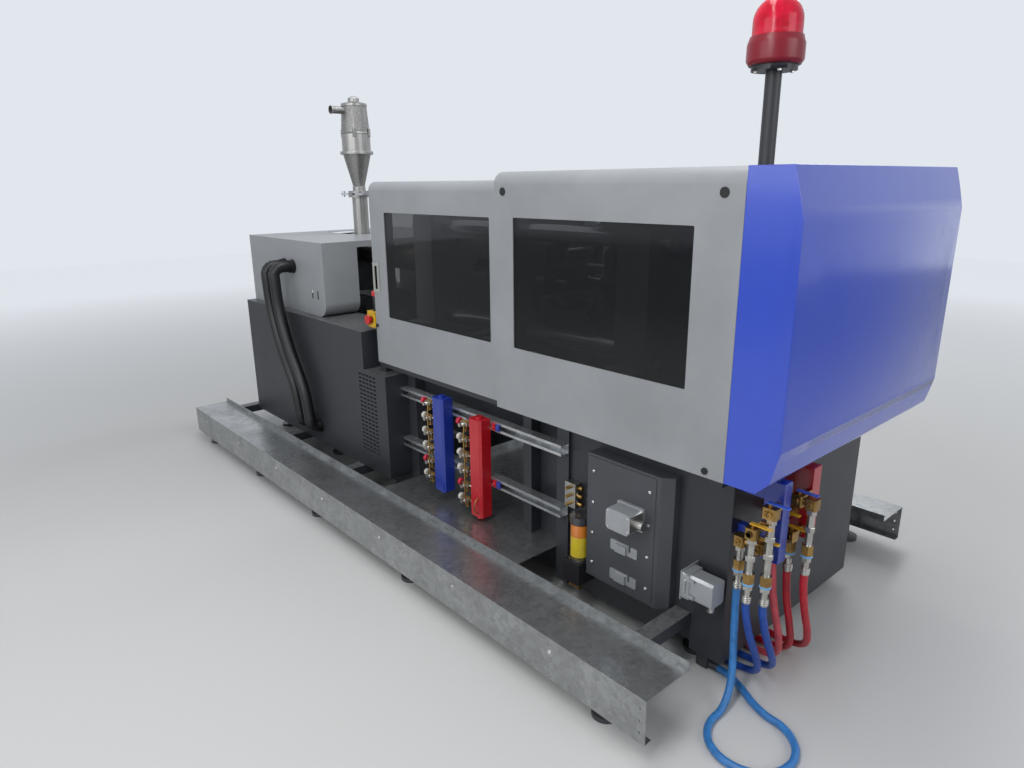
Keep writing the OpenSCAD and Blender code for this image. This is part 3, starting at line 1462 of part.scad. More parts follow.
module operator_panel() {
    color([0.75, 0.76, 0.77]) {
        difference() {
            panel_y(panel_x, panel_z, [panel_l, panel_h], 14, panel_y, panel_y + 70);
            panel_y(panel_x + 22, panel_z + 110, [panel_l - 44, panel_h - 132], 6,
                    panel_y + 64, panel_y + 71);
            bar_y(panel_x + panel_l - 50, panel_y + 45, panel_y + 71, panel_z + 55, 22);
        }
        for (x = [panel_x + 80, panel_x + panel_l - 120])
            span([x, panel_y - 10, inj_cab_z], [x + 40, panel_y, panel_z + 120]);
    }
    color([0.1, 0.11, 0.12])
        span([panel_x + 26, panel_y + 64, panel_z + 114],
             [panel_x + panel_l - 26, panel_y + 66, panel_z + panel_h - 26]);
    color([0.3, 0.31, 0.33]) for (i = [0 : 5])
        bar_y(panel_x + 40 + 34 * i, panel_y + 70, panel_y + 74, panel_z + 55, 22);
}

module panel_estop_button() {
    color([0.85, 0.1, 0.1]) mirror([0, 1, 0])
        mushroom(panel_x + panel_l - 50, -panel_y - 50, panel_z + 55);
}

// Cooling hoses

module blue_hose_1() { color([0.2, 0.5, 0.8]) swept_tube(blue_route_1, hose_d); }
module blue_hose_2() { color([0.15, 0.35, 0.65]) swept_tube(blue_route_2, hose_d); }
module blue_hose_3() { color([0.12, 0.28, 0.6]) swept_tube(blue_route_3, hose_d); }
module red_hose_1() { color([0.85, 0.35, 0.38]) swept_tube(red_route_1, hose_d); }
module red_hose_2() { color([0.7, 0.15, 0.2]) swept_tube(red_route_2, hose_d); }
module red_hose_3() { color([0.8, 0.12, 0.2]) swept_tube(red_route_3, hose_d); }

bed_frame();
clamp_cabinet();
injection_cabinet();
levelling_feet();
side_trays();
floor_pan();
strut_rails();
red_mid_manifold();
blue_mid_manifold();
mid_valves();
end_manifolds();
end_valves();
junction_box();
hood_connectors();
grease_pump();
clamp_cover();
cover_windows();
end_cover();
door_frame();
beacon_pole();
beacon_dome();
beacon_reflector();
fixed_platen();
rear_platen();
tie_bars();
moving_platen();
ejector_plate();
crosshead();
rear_link_top();
front_link_top();
short_link_top();
rear_link_bottom();
front_link_bottom();
short_link_bottom();
drive_screw();
motor_pulley();
drive_belt();
clamp_motor();
injection_cover();
injection_carriage();
barrel();
plasticizing_screw();
pusher_plate();
hopper();
hopper_gate();
cooling_ducts();
near_door();
near_door_window();
far_door();
far_door_window();
estop_station();
estop_button();
operator_panel();
panel_estop_button();
blue_hose_1();
blue_hose_2();
blue_hose_3();
red_hose_1();
red_hose_2();
red_hose_3();
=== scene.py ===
# An electric injection moulding machine, seen from its clamp end and its non-operator side.
# The solids come with the frame; this script gives them their finishes, adds the small parts
# that are bolted, clipped or screwed on, and sets up the floor, the lamps and the camera.
import math

import bmesh
import bpy
from mathutils import Matrix, Vector


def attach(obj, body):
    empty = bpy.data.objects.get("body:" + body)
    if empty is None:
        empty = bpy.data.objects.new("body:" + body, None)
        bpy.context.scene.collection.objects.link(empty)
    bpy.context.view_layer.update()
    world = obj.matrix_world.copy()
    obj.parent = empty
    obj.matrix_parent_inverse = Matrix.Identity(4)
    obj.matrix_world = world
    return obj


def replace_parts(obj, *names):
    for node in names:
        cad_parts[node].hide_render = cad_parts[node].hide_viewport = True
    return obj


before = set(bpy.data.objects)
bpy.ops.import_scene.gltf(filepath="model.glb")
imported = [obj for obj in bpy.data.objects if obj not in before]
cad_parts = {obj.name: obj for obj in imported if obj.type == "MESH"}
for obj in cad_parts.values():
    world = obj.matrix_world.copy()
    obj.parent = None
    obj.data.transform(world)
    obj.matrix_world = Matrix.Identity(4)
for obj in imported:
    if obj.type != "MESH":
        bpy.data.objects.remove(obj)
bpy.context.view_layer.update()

# Camera
# Eye height, off the corner between the end cover and the non-operator side, turned down a little.
def placed(name, data):
    """A new object that stands in the scene."""
    thing = bpy.data.objects.new(name, data)
    bpy.context.collection.objects.link(thing)
    return thing


camera_data = bpy.data.cameras.new("camera")
camera_data.sensor_width = 36
camera_data.lens = 24.8
camera_data.clip_end = 60
camera = placed("camera", camera_data)
camera_spot = Vector((2.65, -2.2, 1.55))
look_right = Vector((0.6648, 0.7470, -0.0090)).normalized()
look_up = Vector((-0.1998, 0.1894, 0.9613)).normalized()
look_back = look_right.cross(look_up)
look_up = look_back.cross(look_right)
camera.matrix_world = Matrix((
    (look_right.x, look_up.x, look_back.x, camera_spot.x),
    (look_right.y, look_up.y, look_back.y, camera_spot.y),
    (look_right.z, look_up.z, look_back.z, camera_spot.z),
    (0, 0, 0, 1),
))
bpy.context.scene.camera = camera


# Cooling hoses
# Six rubber hoses for the cooling water. They hang from the brass take-offs at the clamp end,
# lie on the floor and go back under the base into the supply header.
def new_material(name):
    """A new node material, with its nodes, its links and its shader."""
    material = bpy.data.materials.new(name)
    material.use_nodes = True
    nodes = material.node_tree.nodes
    links = material.node_tree.links
    shader = nodes["Principled BSDF"]
    return material, nodes, links, shader


def noise(nodes, links, scale, detail=4.0, roughness=0.55, stretch=None):
    """Noise on Object coordinates, finer along an axis where stretch says so."""
    place = nodes.new("ShaderNodeTexCoord")
    pattern = nodes.new("ShaderNodeTexNoise")
    pattern.inputs["Scale"].default_value = scale
    pattern.inputs["Detail"].default_value = detail
    pattern.inputs["Roughness"].default_value = roughness
    if stretch is None:
        links.new(place.outputs["Object"], pattern.inputs["Vector"])
    else:
        turn = nodes.new("ShaderNodeMapping")
        turn.inputs["Scale"].default_value = stretch
        links.new(place.outputs["Object"], turn.inputs["Vector"])
        links.new(turn.outputs["Vector"], pattern.inputs["Vector"])
    return pattern


def spread(nodes, links, source, low, high, low_at=0.3, high_at=0.7):
    """Maps a 0 to 1 value to the range from low to high."""
    band = nodes.new("ShaderNodeMapRange")
    band.inputs["From Min"].default_value = low_at
    band.inputs["From Max"].default_value = high_at
    band.inputs["To Min"].default_value = low
    band.inputs["To Max"].default_value = high
    links.new(source, band.inputs["Value"])
    return band.outputs["Result"]


def two_tone(nodes, links, source, dark, light, low_at=0.35, high_at=0.65):
    """Mixes two colours by a 0 to 1 value."""
    ramp = nodes.new("ShaderNodeValToRGB")
    ramp.color_ramp.elements[0].position = low_at
    ramp.color_ramp.elements[1].position = high_at
    ramp.color_ramp.elements[0].color = (*dark, 1)
    ramp.color_ramp.elements[1].color = (*light, 1)
    links.new(source, ramp.inputs["Fac"])
    return ramp.outputs["Color"]


def raised(nodes, links, height, strength, distance):
    """Turns a height into a bump."""
    bump = nodes.new("ShaderNodeBump")
    bump.inputs["Strength"].default_value = strength
    bump.inputs["Distance"].default_value = distance
    links.new(height, bump.inputs["Height"])
    return bump.outputs["Normal"]


def srgb(*channels):
    """Red, green and blue as seen on a screen, 0 to 255, turned to the values that shaders use."""
    shares = [channel / 255 for channel in channels]
    return tuple(share / 12.92 if share <= 0.04045 else ((share + 0.055) / 1.055) ** 2.4
                 for share in shares)


def shaded(colour, share):
    """A colour with a share of its light left."""
    return tuple(channel * share for channel in colour)


def mottled(name, marks, dark, light, rough, band=(0.35, 0.65), grain=None, sockets=None):
    """A finish that one noise, marks, takes from dark to light and through a range of roughness.
    Grain gives a fine bump's scale, strength and depth; sockets are other constants."""
    material, nodes, links, shader = new_material(name)
    mottle = noise(nodes, links, *marks).outputs["Fac"]
    links.new(two_tone(nodes, links, mottle, dark, light, *band), shader.inputs["Base Color"])
    links.new(spread(nodes, links, mottle, *rough), shader.inputs["Roughness"])
    if grain:
        scale, strength, depth = grain
        fine = noise(nodes, links, scale, 2)
        links.new(raised(nodes, links, fine.outputs["Fac"], strength, depth), shader.inputs["Normal"])
    for socket, value in (sockets or {}).items():
        shader.inputs[socket].default_value = value
    return material


def hose_rubber(name, colour):
    """Smooth coloured hose rubber with a dusty, slightly uneven sheen."""
    return mottled(name, (38, 5), shaded(colour, 0.72), colour, (0.32, 0.5), grain=(900, 0.12, 0.0006))


def round_line(name, points, thickness, finish, around=5, along=8):
    """A hose, thin pipe or wire that is bent smoothly through its points."""
    line = bpy.data.curves.new(name, "CURVE")
    line.dimensions = "3D"
    line.bevel_depth = thickness / 2
    line.bevel_resolution = around
    line.resolution_u = along
    line.use_fill_caps = True
    spline = line.splines.new("BEZIER")
    spline.bezier_points.add(len(points) - 1)
    for knot, point in zip(spline.bezier_points, points):
        knot.co = point
        knot.handle_left_type = knot.handle_right_type = "AUTO"
    line.materials.append(finish)
    return placed(name, line)


body_name = "machine_body"
hose_diameter = 0.023
hose_rubbers = {
    "light_blue": hose_rubber("light_blue_rubber", srgb(58, 130, 200)),
    "blue": hose_rubber("blue_rubber", srgb(32, 76, 165)),
    "light_red": hose_rubber("light_red_rubber", srgb(214, 86, 96)),
    "red": hose_rubber("red_rubber", srgb(188, 30, 46)),
}
header_x, header_z = 1.622, 0.014
straight_top, straight_foot = 0.020, 0.016
hoses = [
    ("blue_hose_1", "light_blue", 1.25, (1.684, -.440, .360), -0.40,
     [(1.685, -.441, .303), (1.688, -.443, .246), (1.694, -.449, .190), (1.703, -.460, .135),
      (1.714, -.479, .083), (1.726, -.513, .040), (1.735, -.563, .016), (1.738, -.620, .012),
      (1.760, -.672, .012), (1.803, -.708, .012), (1.858, -.720, .012), (1.913, -.706, .012),
      (1.955, -.668, .012), (1.975, -.616, .012), (1.969, -.560, .012), (1.938, -.513, .012),
      (1.889, -.485, .012), (1.833, -.478, .012), (1.780, -.460, .013), (1.730, -.432, .013),
      (1.678, -.409, .014)]),
    ("blue_hose_2", "blue", 0.47, (1.745, -.490, .360), -0.34,
     [(1.746, -.488, .324), (1.749, -.481, .289), (1.752, -.472, .255), (1.755, -.460, .221),
      (1.758, -.446, .188), (1.759, -.431, .156), (1.758, -.414, .125), (1.752, -.396, .094),
      (1.741, -.377, .066), (1.720, -.361, .042), (1.692, -.348, .025), (1.658, -.342, .016)]),
    ("blue_hose_3", "blue", 0.49, (1.783, -.460, .355), -0.28,
     [(1.784, -.457, .317), (1.786, -.448, .281), (1.788, -.436, .245), (1.789, -.420, .211),
      (1.789, -.402, .178), (1.787, -.383, .145), (1.782, -.362, .115), (1.771, -.340, .085),
      (1.754, -.320, .059), (1.728, -.302, .038), (1.696, -.289, .024), (1.660, -.282, .016)]),
    ("red_hose_1", "light_red", 0.52, (1.735, -.330, .430), -0.22,
     [(1.736, -.329, .393), (1.738, -.326, .356), (1.740, -.322, .320), (1.744, -.316, .284),
      (1.747, -.308, .248), (1.750, -.299, .212), (1.753, -.289, .177), (1.753, -.277, .142),
      (1.750, -.264, .108), (1.741, -.250, .075), (1.723, -.237, .046), (1.694, -.227, .026),
      (1.659, -.221, .017)]),
    ("red_hose_2", "red", 0.51, (1.768, -.300, .400), -0.16,
     [(1.769, -.299, .364), (1.770, -.294, .328), (1.771, -.288, .293), (1.773, -.279, .258),
      (1.774, -.268, .224), (1.774, -.256, .190), (1.772, -.242, .157), (1.768, -.226, .124),
      (1.759, -.210, .093), (1.745, -.193, .065), (1.722, -.179, .041), (1.692, -.168, .025),
      (1.658, -.162, .016)]),
    ("red_hose_3", "red", 0.57, (1.822, -.300, .410), -0.10,
     [(1.822, -.298, .372), (1.823, -.292, .335), (1.824, -.282, .298), (1.824, -.270, .262),
      (1.824, -.255, .227), (1.822, -.237, .194), (1.817, -.218, .161), (1.810, -.198, .130),
      (1.799, -.177, .101), (1.783, -.155, .074), (1.760, -.136, .051), (1.731, -.119, .033),
      (1.697, -.108, .022), (1.660, -.102, .016)]),
]
for name, shade, length, top, header_y, bends in hoses:
    route = [top, (top[0], top[1], top[2] - straight_top), *bends,
             (header_x + straight_foot, header_y, header_z), (header_x, header_y, header_z)]
    piece = round_line(name + "_tube", route, hose_diameter, hose_rubbers[shade])
    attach(piece, body_name)
    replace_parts(piece, name)


# Floor, backdrop and lamps
# A pale studio floor that runs into a pale backdrop, lit by long soft lamps overhead,
# as a hall's rows of ceiling lights would.
floor_reach = 14
pale_from, pale_to = 2.6, 9.0
backdrop_light = (0.80, 0.84, 0.90, 1)
studio = bmesh.new()
bmesh.ops.create_grid(studio, x_segments=1, y_segments=1, size=floor_reach)
studio_mesh = bpy.data.meshes.new("studio_floor")
studio.to_mesh(studio_mesh)
studio.free()
floor = placed("studio_floor", studio_mesh)
floor_paint, nodes, links, shader = new_material("studio_floor_paint")
shader.inputs["Base Color"].default_value = (0.62, 0.62, 0.61, 1)
shader.inputs["Roughness"].default_value = 0.55
place = nodes.new("ShaderNodeTexCoord")
away = nodes.new("ShaderNodeVectorMath")
away.operation = "LENGTH"
links.new(place.outputs["Object"], away.inputs[0])
rays = nodes.new("ShaderNodeLightPath")
glow = nodes.new("ShaderNodeMath")
glow.operation = "MULTIPLY"
links.new(spread(nodes, links, away.outputs["Value"], 0.0, 0.55, pale_from, pale_to), glow.inputs[0])
links.new(rays.outputs["Is Camera Ray"], glow.inputs[1])
links.new(glow.outputs["Value"], shader.inputs["Emission Strength"])
shader.inputs["Emission Color"].default_value = backdrop_light
studio_mesh.materials.append(floor_paint)

world = bpy.data.worlds.new("studio_world")
bpy.context.scene.world = world
world.use_nodes = True
nodes = world.node_tree.nodes
links = world.node_tree.links
sky = nodes["Background"]
sky.inputs["Color"].default_value = backdrop_light
rays = nodes.new("ShaderNodeLightPath")
seen_by_metal = nodes.new("ShaderNodeMath")
seen_by_metal.operation = "MAXIMUM"
links.new(rays.outputs["Is Glossy Ray"], seen_by_metal.inputs[0])
links.new(rays.outputs["Is Transmission Ray"], seen_by_metal.inputs[1])
seen = nodes.new("ShaderNodeMath")
seen.operation = "MAXIMUM"
links.new(rays.outputs["Is Camera Ray"], seen.inputs[0])
links.new(seen_by_metal.outputs["Value"], seen.inputs[1])
level = nodes.new("ShaderNodeMapRange")
level.inputs["To Min"].default_value = 0.4
level.inputs["To Max"].default_value = 0.95
links.new(seen.outputs["Value"], level.inputs["Value"])
links.new(level.outputs["Result"], sky.inputs["Strength"])


def lamp(name, place, aim, size, length, power):
    """A long soft lamp that points at aim."""
    data = bpy.data.lights.new(name, "AREA")
    data.shape = "RECTANGLE"
    data.size = size
    data.size_y = length
    data.energy = power
    light = placed(name, data)
    light.location = place
    light.rotation_euler = (Vector(aim) - Vector(place)).to_track_quat("-Z", "Y").to_euler()


lamp("ceiling_row_1", (1.2, -1.6, 4.2), (0.6, 0.0, 0.8), 0.5, 7.0, 95)
lamp("ceiling_row_2", (0.0, 1.8, 4.4), (0.0, 0.2, 0.8), 0.6, 7.0, 70)
lamp("end_window", (5.2, 0.4, 2.6), (1.6, 0.0, 1.0), 2.6, 2.2, 40)
lamp("side_fill", (0.6, -5.0, 2.4), (0.2, -0.5, 0.7), 5.0, 2.0, 56)

bpy.context.scene.view_settings.view_transform = "Standard"


# Bed, cabinets and feet
# Welded steel bed and folded side panels, all in a very dark grey textured powder coat
# with a little dust on it. The feet are steel pads on threaded studs.
def paint(node, *materials):
    """Puts finishes on one of the frame's solids."""
    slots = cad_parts[node].material_slots
    for place, material in enumerate(materials):
        slots[place].link = "OBJECT"
        slots[place].material = material


def powder_coat(name, colour, roughness=0.45, texture=0.25, dust=0.0, dust_colour=(0.25, 0.25, 0.24),
                metallic=0.0):
    """Powder coat: orange peel in the surface, faint cloudiness, and settled dust where asked."""
    material, nodes, links, shader = new_material(name)
    clouds = noise(nodes, links, 3.2, 5)
    lighter = tuple(min(1, channel * 1.12) for channel in colour)
    tint = two_tone(nodes, links, clouds.outputs["Fac"], shaded(colour, 0.9), lighter, 0.3, 0.7)
    if dust > 0:
        facing = nodes.new("ShaderNodeNewGeometry")
        parts = nodes.new("ShaderNodeSeparateXYZ")
        links.new(facing.outputs["Normal"], parts.inputs["Vector"])
        settled = nodes.new("ShaderNodeMath")
        settled.operation = "MULTIPLY"
        specks = noise(nodes, links, 45, 6, 0.7)
        links.new(spread(nodes, links, parts.outputs["Z"], 0, dust, 0.1, 1.0), settled.inputs[0])
        links.new(spread(nodes, links, specks.outputs["Fac"], 0.3, 1.0, 0.35, 0.65), settled.inputs[1])
        blend = nodes.new("ShaderNodeMix")
        blend.data_type = "RGBA"
        links.new(settled.outputs["Value"], blend.inputs["Factor"])
        links.new(tint, blend.inputs["A"])
        blend.inputs["B"].default_value = (*dust_colour, 1)
        tint = blend.outputs["Result"]
    links.new(tint, shader.inputs["Base Color"])
    peel = noise(nodes, links, 420, 2)
    links.new(raised(nodes, links, peel.outputs["Fac"], texture, 0.0008), shader.inputs["Normal"])
    links.new(spread(nodes, links, clouds.outputs["Fac"], roughness - 0.06, roughness + 0.08),
              shader.inputs["Roughness"])
    shader.inputs["Metallic"].default_value = metallic
    return material


cabinet_paint = powder_coat("cabinet_powder_coat", srgb(47, 49, 54), 0.4, 0.35, 0.4)
foot_steel = powder_coat("foot_steel", srgb(78, 80, 84), 0.45, 0.2, 0.3, metallic=0.6)
paint("bed_frame", powder_coat("base_powder_coat", srgb(52, 54, 59), 0.42, 0.3, 0.5))
paint("clamp_cabinet", cabinet_paint)
paint("injection_cabinet", cabinet_paint)
paint("levelling_feet", foot_steel)


# Trays and chute floor
# Long trays of bare zinc-coated sheet, bolted to the outriggers, and the chute floor between
# them: a spangle of crystals in the zinc, with dull scuffs where tools lie.
def zinc_sheet(name, colour, roughness=0.42):
    """Hot-dip zinc on steel sheet."""
    material, nodes, links, shader = new_material(name)
    place = nodes.new("ShaderNodeTexCoord")
    spangle = nodes.new("ShaderNodeTexVoronoi")
    spangle.inputs["Scale"].default_value = 55
    spangle.inputs["Randomness"].default_value = 1
    links.new(place.outputs["Object"], spangle.inputs["Vector"])
    scuffs = noise(nodes, links, 7, 8, 0.7)
    grey = nodes.new("ShaderNodeSeparateColor")
    links.new(spangle.outputs["Color"], grey.inputs["Color"])
    crystal = two_tone(nodes, links, grey.outputs["Red"], shaded(colour, 0.78), colour, -0.6, 1.0)
    worn = nodes.new("ShaderNodeMix")
    worn.data_type = "RGBA"
    worn.blend_type = "MULTIPLY"
    worn.inputs["Factor"].default_value = 0.6
    links.new(crystal, worn.inputs["A"])
    links.new(two_tone(nodes, links, scuffs.outputs["Fac"], (0.55, 0.55, 0.55), (1, 1, 1), 0.3, 0.6),
              worn.inputs["B"])
    links.new(worn.outputs["Result"], shader.inputs["Base Color"])
    links.new(spread(nodes, links, scuffs.outputs["Fac"], roughness + 0.14, roughness - 0.08),
              shader.inputs["Roughness"])
    shader.inputs["Metallic"].default_value = 0.85
    links.new(raised(nodes, links, scuffs.outputs["Fac"], 0.08, 0.002), shader.inputs["Normal"])
    return material


sharp_angle = math.radians(32)
same_point = 0.00001


def finished(shape, name, body, slot, *finishes):
    """Turns a bmesh into a piece that rides on a body, smooth but for its sharp corners."""
    data = bpy.data.meshes.new(name)
    shape.to_mesh(data)
    shape.free()
    data.shade_smooth()
    data.set_sharp_from_angle(angle=sharp_angle)
    for finish in finishes:
        data.materials.append(finish)
    piece = placed(name, data)
    even = piece.modifiers.new("even_shading", "WEIGHTED_NORMAL")
    even.keep_sharp = True
    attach(piece, body)
    return piece


def turned(shape, outline, place, axis, steps=20):
    """Adds a turned form: (radius, height) points spun round an axis that starts at place."""
    before = set(shape.verts)
    points = [shape.verts.new((radius, 0, height)) for radius, height in outline]
    edges = [shape.edges.new(pair) for pair in zip(points, points[1:])]
    bmesh.ops.spin(shape, geom=points + edges, axis=(0, 0, 1), cent=(0, 0, 0), angle=2 * math.pi,
                   steps=steps, use_merge=True)
    made = [vert for vert in shape.verts if vert not in before]
    bmesh.ops.remove_doubles(shape, verts=made, dist=same_point)
    made = [vert for vert in shape.verts if vert not in before]
    bmesh.ops.rotate(shape, verts=made, matrix=Vector(axis).to_track_quat("Z", "Y").to_matrix())
    bmesh.ops.translate(shape, verts=made, vec=place)
    bmesh.ops.recalc_face_normals(shape, faces=list({face for vert in made for face in vert.link_faces}))


tray_zinc = zinc_sheet("tray_zinc", srgb(176, 178, 178), 0.28)
paint("side_trays", tray_zinc)
paint("floor_pan", tray_zinc)
paint("strut_rails", zinc_sheet("strut_zinc", srgb(205, 208, 210), 0.3))
tray_bolt_zinc = zinc_sheet("tray_bolt_zinc", srgb(190, 190, 188), 0.3)
tray_face_y = 0.877
tray_bolt_z = 0.1435
first_tray_bolt_x = -1.682
tray_bolt_step = 0.5
tray_bolt_head = [(0.0001, 0.0042), (0.0045, 0.0042), (0.0072, 0.0028), (0.0082, 0.0014),
                  (0.0115, 0.0012), (0.012, 0)]
for side, side_name in ((-1, "near"), (1, "far")):
    tray_bolts = bmesh.new()
    for bolt in range(7):
        turned(tray_bolts, tray_bolt_head,
               (first_tray_bolt_x + bolt * tray_bolt_step, side * tray_face_y, tray_bolt_z),
               (0, side, 0))
    finished(tray_bolts, side_name + "_tray_bolts", body_name, "strut_metal", tray_bolt_zinc)


# Cooling manifolds and valves
# Anodised bars, blue for the cold and red for the warm water, with cast brass fittings. The bars
# in the middle are clipped to two strut rails; the end bars are bolted to the clamp cabinet.
def gloss_paint(name, colour, roughness=0.25, coat=0.3, peel=0.06, wear=0.15):
    """Smooth glossy paint with faint orange peel and handling marks."""
    return mottled(name, (9, 7, 0.65), shaded(colour, 1 - wear), colour,
                   (roughness + 0.08, roughness - 0.04), (0.3, 0.62), (260, peel, 0.0006),
                   {"Coat Weight": coat, "Coat Roughness": 0.12})


def cast_metal(name, colour, roughness=0.35, metallic=1.0, tarnish=0.35):
    """Machined or cast metal with tarnish in patches and fine tool marks."""
    return mottled(name, (24, 6, 0.65), shaded(colour, 1 - tarnish), colour,
                   (roughness + 0.12, roughness - 0.06), (0.3, 0.65), (700, 0.15, 0.0005),
                   {"Metallic": metallic})


def dressed(node, body, slot, finishes, choose=None, corner=0.0):
    """A merged copy that stands for one of the frame's solids: its long corners are rounded by
    corner, and choose gives each face one of the finishes by the face's middle."""
    copy = bmesh.new()
    copy.from_mesh(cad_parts[node].data)
    bmesh.ops.remove_doubles(copy, verts=copy.verts, dist=same_point)
    bmesh.ops.dissolve_limit(copy, angle_limit=math.radians(0.5), verts=copy.verts, edges=copy.edges)
    if corner:
        folds = [edge for edge in copy.edges
                 if len(edge.link_faces) == 2 and edge.calc_length() > 8 * corner
                 and edge.calc_face_angle() > 0.45
                 and all(face.calc_area() > 3 * corner * edge.calc_length() for face in edge.link_faces)]
        bmesh.ops.bevel(copy, geom=folds, offset=corner, offset_type="OFFSET", segments=2,
                        profile=0.5, affect="EDGES", clamp_overlap=True, material=-1)
    if choose:
        for face in copy.faces:
            face.material_index = choose(face.calc_center_median())
    piece = finished(copy, node + "_dressed", body, slot, *finishes)
    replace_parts(piece, node)


def block(shape, low, high, corner=0.0015):
    """Adds a block between two corners, with its edges rounded."""
    made = bmesh.ops.create_cube(shape, size=1)["verts"]
    low, high = Vector(low), Vector(high)
    bmesh.ops.scale(shape, verts=made, vec=high - low)
    bmesh.ops.translate(shape, verts=made, vec=(low + high) / 2)
    bmesh.ops.bevel(shape, geom=list({edge for vert in made for edge in vert.link_edges}),
                    offset=corner, offset_type="OFFSET", segments=2, profile=0.5, affect="EDGES",
                    clamp_overlap=True, material=-1)


def bent_wire(name, points, thickness, body, finish):
    """A round wire or thin pipe that rides on a body."""
    wire = round_line(name, points, thickness, finish, 3, 6)
    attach(wire, body)


def collar(inner, outer, height, chamfer=0.001):
    """Outline of a nut or a plain ring with both its outer corners taken off."""
    return [(inner, 0), (outer - chamfer, 0), (outer, chamfer), (outer, height - chamfer),
            (outer - chamfer, height), (inner, height)]


brass = cast_metal("brass", srgb(176, 142, 86), 0.34, 1.0, 0.45)
nickel = cast_metal("nickel_plate", srgb(190, 188, 182), 0.28, 1.0, 0.25)
red_anodised = gloss_paint("red_anodised", srgb(196, 24, 38), 0.28, 0.4)
blue_anodised = gloss_paint("blue_anodised", srgb(30, 56, 160), 0.28, 0.4)
dark_red_bar = gloss_paint("dark_red_bar", srgb(176, 20, 36), 0.28, 0.4)
white_knob = gloss_paint("white_knob", srgb(214, 210, 202), 0.4, 0.1)
pink_knob = gloss_paint("pink_knob", srgb(204, 40, 70), 0.4, 0.1)
lever_yellow = gloss_paint("lever_yellow", srgb(222, 170, 40), 0.35, 0.2)
lever_blue = gloss_paint("lever_blue", srgb(60, 96, 200), 0.35, 0.2)
paint("red_mid_manifold", red_anodised)
paint("blue_mid_manifold", blue_anodised)
between_end_bars_y = -0.3
dressed("end_manifolds", body_name, "manifold_end", [blue_anodised, dark_red_bar],
        lambda middle: 0 if middle.y < between_end_bars_y else 1, 0.0015)

# Each flow valve has a brass body, a plated hose tail towards the front and a plastic hand knob.
# Two knobs of each row are pink, the others white. A row is its bar's x and its lowest port's z.
red_row, blue_row = (0.507, 0.257), (0.255, 0.290)
valve_rows = (red_row, blue_row)
between_rows_x = 0.38
ports_in_row = 6
port_step = 0.068
port_y = -0.521
pink_rows = (1, 5)
knob_from_bar = 0.0755
tail_from_bar = 0.021
tail_front_y = -0.531


def valve_finish(middle):
    """Says which part of a flow valve a face belongs to."""
    row_x, low_z = red_row if middle.x > between_rows_x else blue_row
    if middle.x < row_x - knob_from_bar:
        return 3 if round((middle.z - low_z) / port_step) in pink_rows else 2
    return 1 if middle.y < tail_front_y or middle.x > row_x - tail_from_bar else 0


dressed("mid_valves", body_name, "brass", [brass, nickel, white_knob, pink_knob], valve_finish)
port_nuts = bmesh.new()
for row_x, low_z in valve_rows:
    for row in range(ports_in_row):
        turned(port_nuts, collar(0.0072, 0.0135, 0.005),
               (row_x - 0.0001, port_y, low_z + port_step * row), (-1, 0, 0), 6)
finished(port_nuts, "port_nuts", body_name, "strut_metal", nickel)
vent_diameter = 0.007
vent_back_y, vent_front_y = -0.540, -0.5455
for colour, (row_x, low_z) in (("red", red_row), ("blue", blue_row)):
    bent_wire(colour + "_vent_pipe",
              [(row_x - 0.030, vent_back_y, low_z + 0.340), (row_x - 0.028, vent_front_y, low_z + 0.300),
               (row_x - 0.026, vent_front_y, low_z + 0.150), (row_x - 0.029, vent_front_y, low_z + 0.020),
               (row_x - 0.030, vent_back_y, low_z - 0.020)], vent_diameter, body_name, brass)
handle_x = 0.572
bent_wire("bar_handle", [(handle_x, -0.5485, 0.306), (handle_x, -0.560, 0.302), (handle_x, -0.570, 0.284),
                         (handle_x, -0.571, 0.262), (handle_x, -0.561, 0.243), (handle_x, -0.5485, 0.239)],
          0.005, body_name, brass)

# Red and blue stops, screwed to both strut rails, keep the bars in their places.
rail_heights = (0.370, 0.615)
stop_front_y, stop_back_y = -0.502, -0.4935
stop_width = 0.020
half_stop_height = 0.014
stop_screw = [(0.0001, 0.004), (0.004, 0.004), (0.0055, 0.0025), (0.006, 0)]
for colour, stop_x, bar_finish in (("red", 0.606, red_anodised), ("blue", 0.630, blue_anodised)):
    rail_stops = bmesh.new()
    for rail_z in rail_heights:
        block(rail_stops, (stop_x, stop_front_y, rail_z - half_stop_height),
              (stop_x + stop_width, stop_back_y, rail_z + half_stop_height))
        turned(rail_stops, stop_screw, (stop_x + stop_width / 2, stop_front_y, rail_z), (0, -1, 0), 12)
    finished(rail_stops, colour + "_rail_stops", body_name, "manifold_" + colour, bar_finish)

# The take-offs at the end: brass elbows and ball valves, plated swivel nuts and hose ferrules,
# flat levers dipped in plastic. Each port has its x, its z and its lever's finish, and feeds the
# hose that has the same place in the list of hoses.
yellow_lever, blue_lever = 2, 3
ports = [(1.745, 0.520, yellow_lever), (1.745, 0.585, yellow_lever), (1.775, 0.650, blue_lever),
         (1.745, 0.575, yellow_lever), (1.768, 0.520, yellow_lever), (1.780, 0.640, blue_lever)]
take_offs = [(*top, *port) for (name, shade, length, top, header_y, bends), port in zip(hoses, ports)]
header_top_z = 0.12
lever_low, lever_high = 0.0255, 0.0305
lever_half_width = 0.009
lever_middle, lever_half_length = 0.025, 0.04
ferrule_radius, ferrule_length = 0.02, 0.0595
column_radius = 0.0125
elbow_foot = 0.0174
coupling_pitch, coupling_height = 0.055, 0.016
coupling_drop, lowest_coupling = 0.0175, 0.1
fittings_length = 0.115
ring_heights = (0.004, 0.010, 0.016)
ferrule_ring = [(0.0136, 0), (0.0146, 0.001), (0.0146, 0.003), (0.0136, 0.004)]
swivel_height = 0.0585


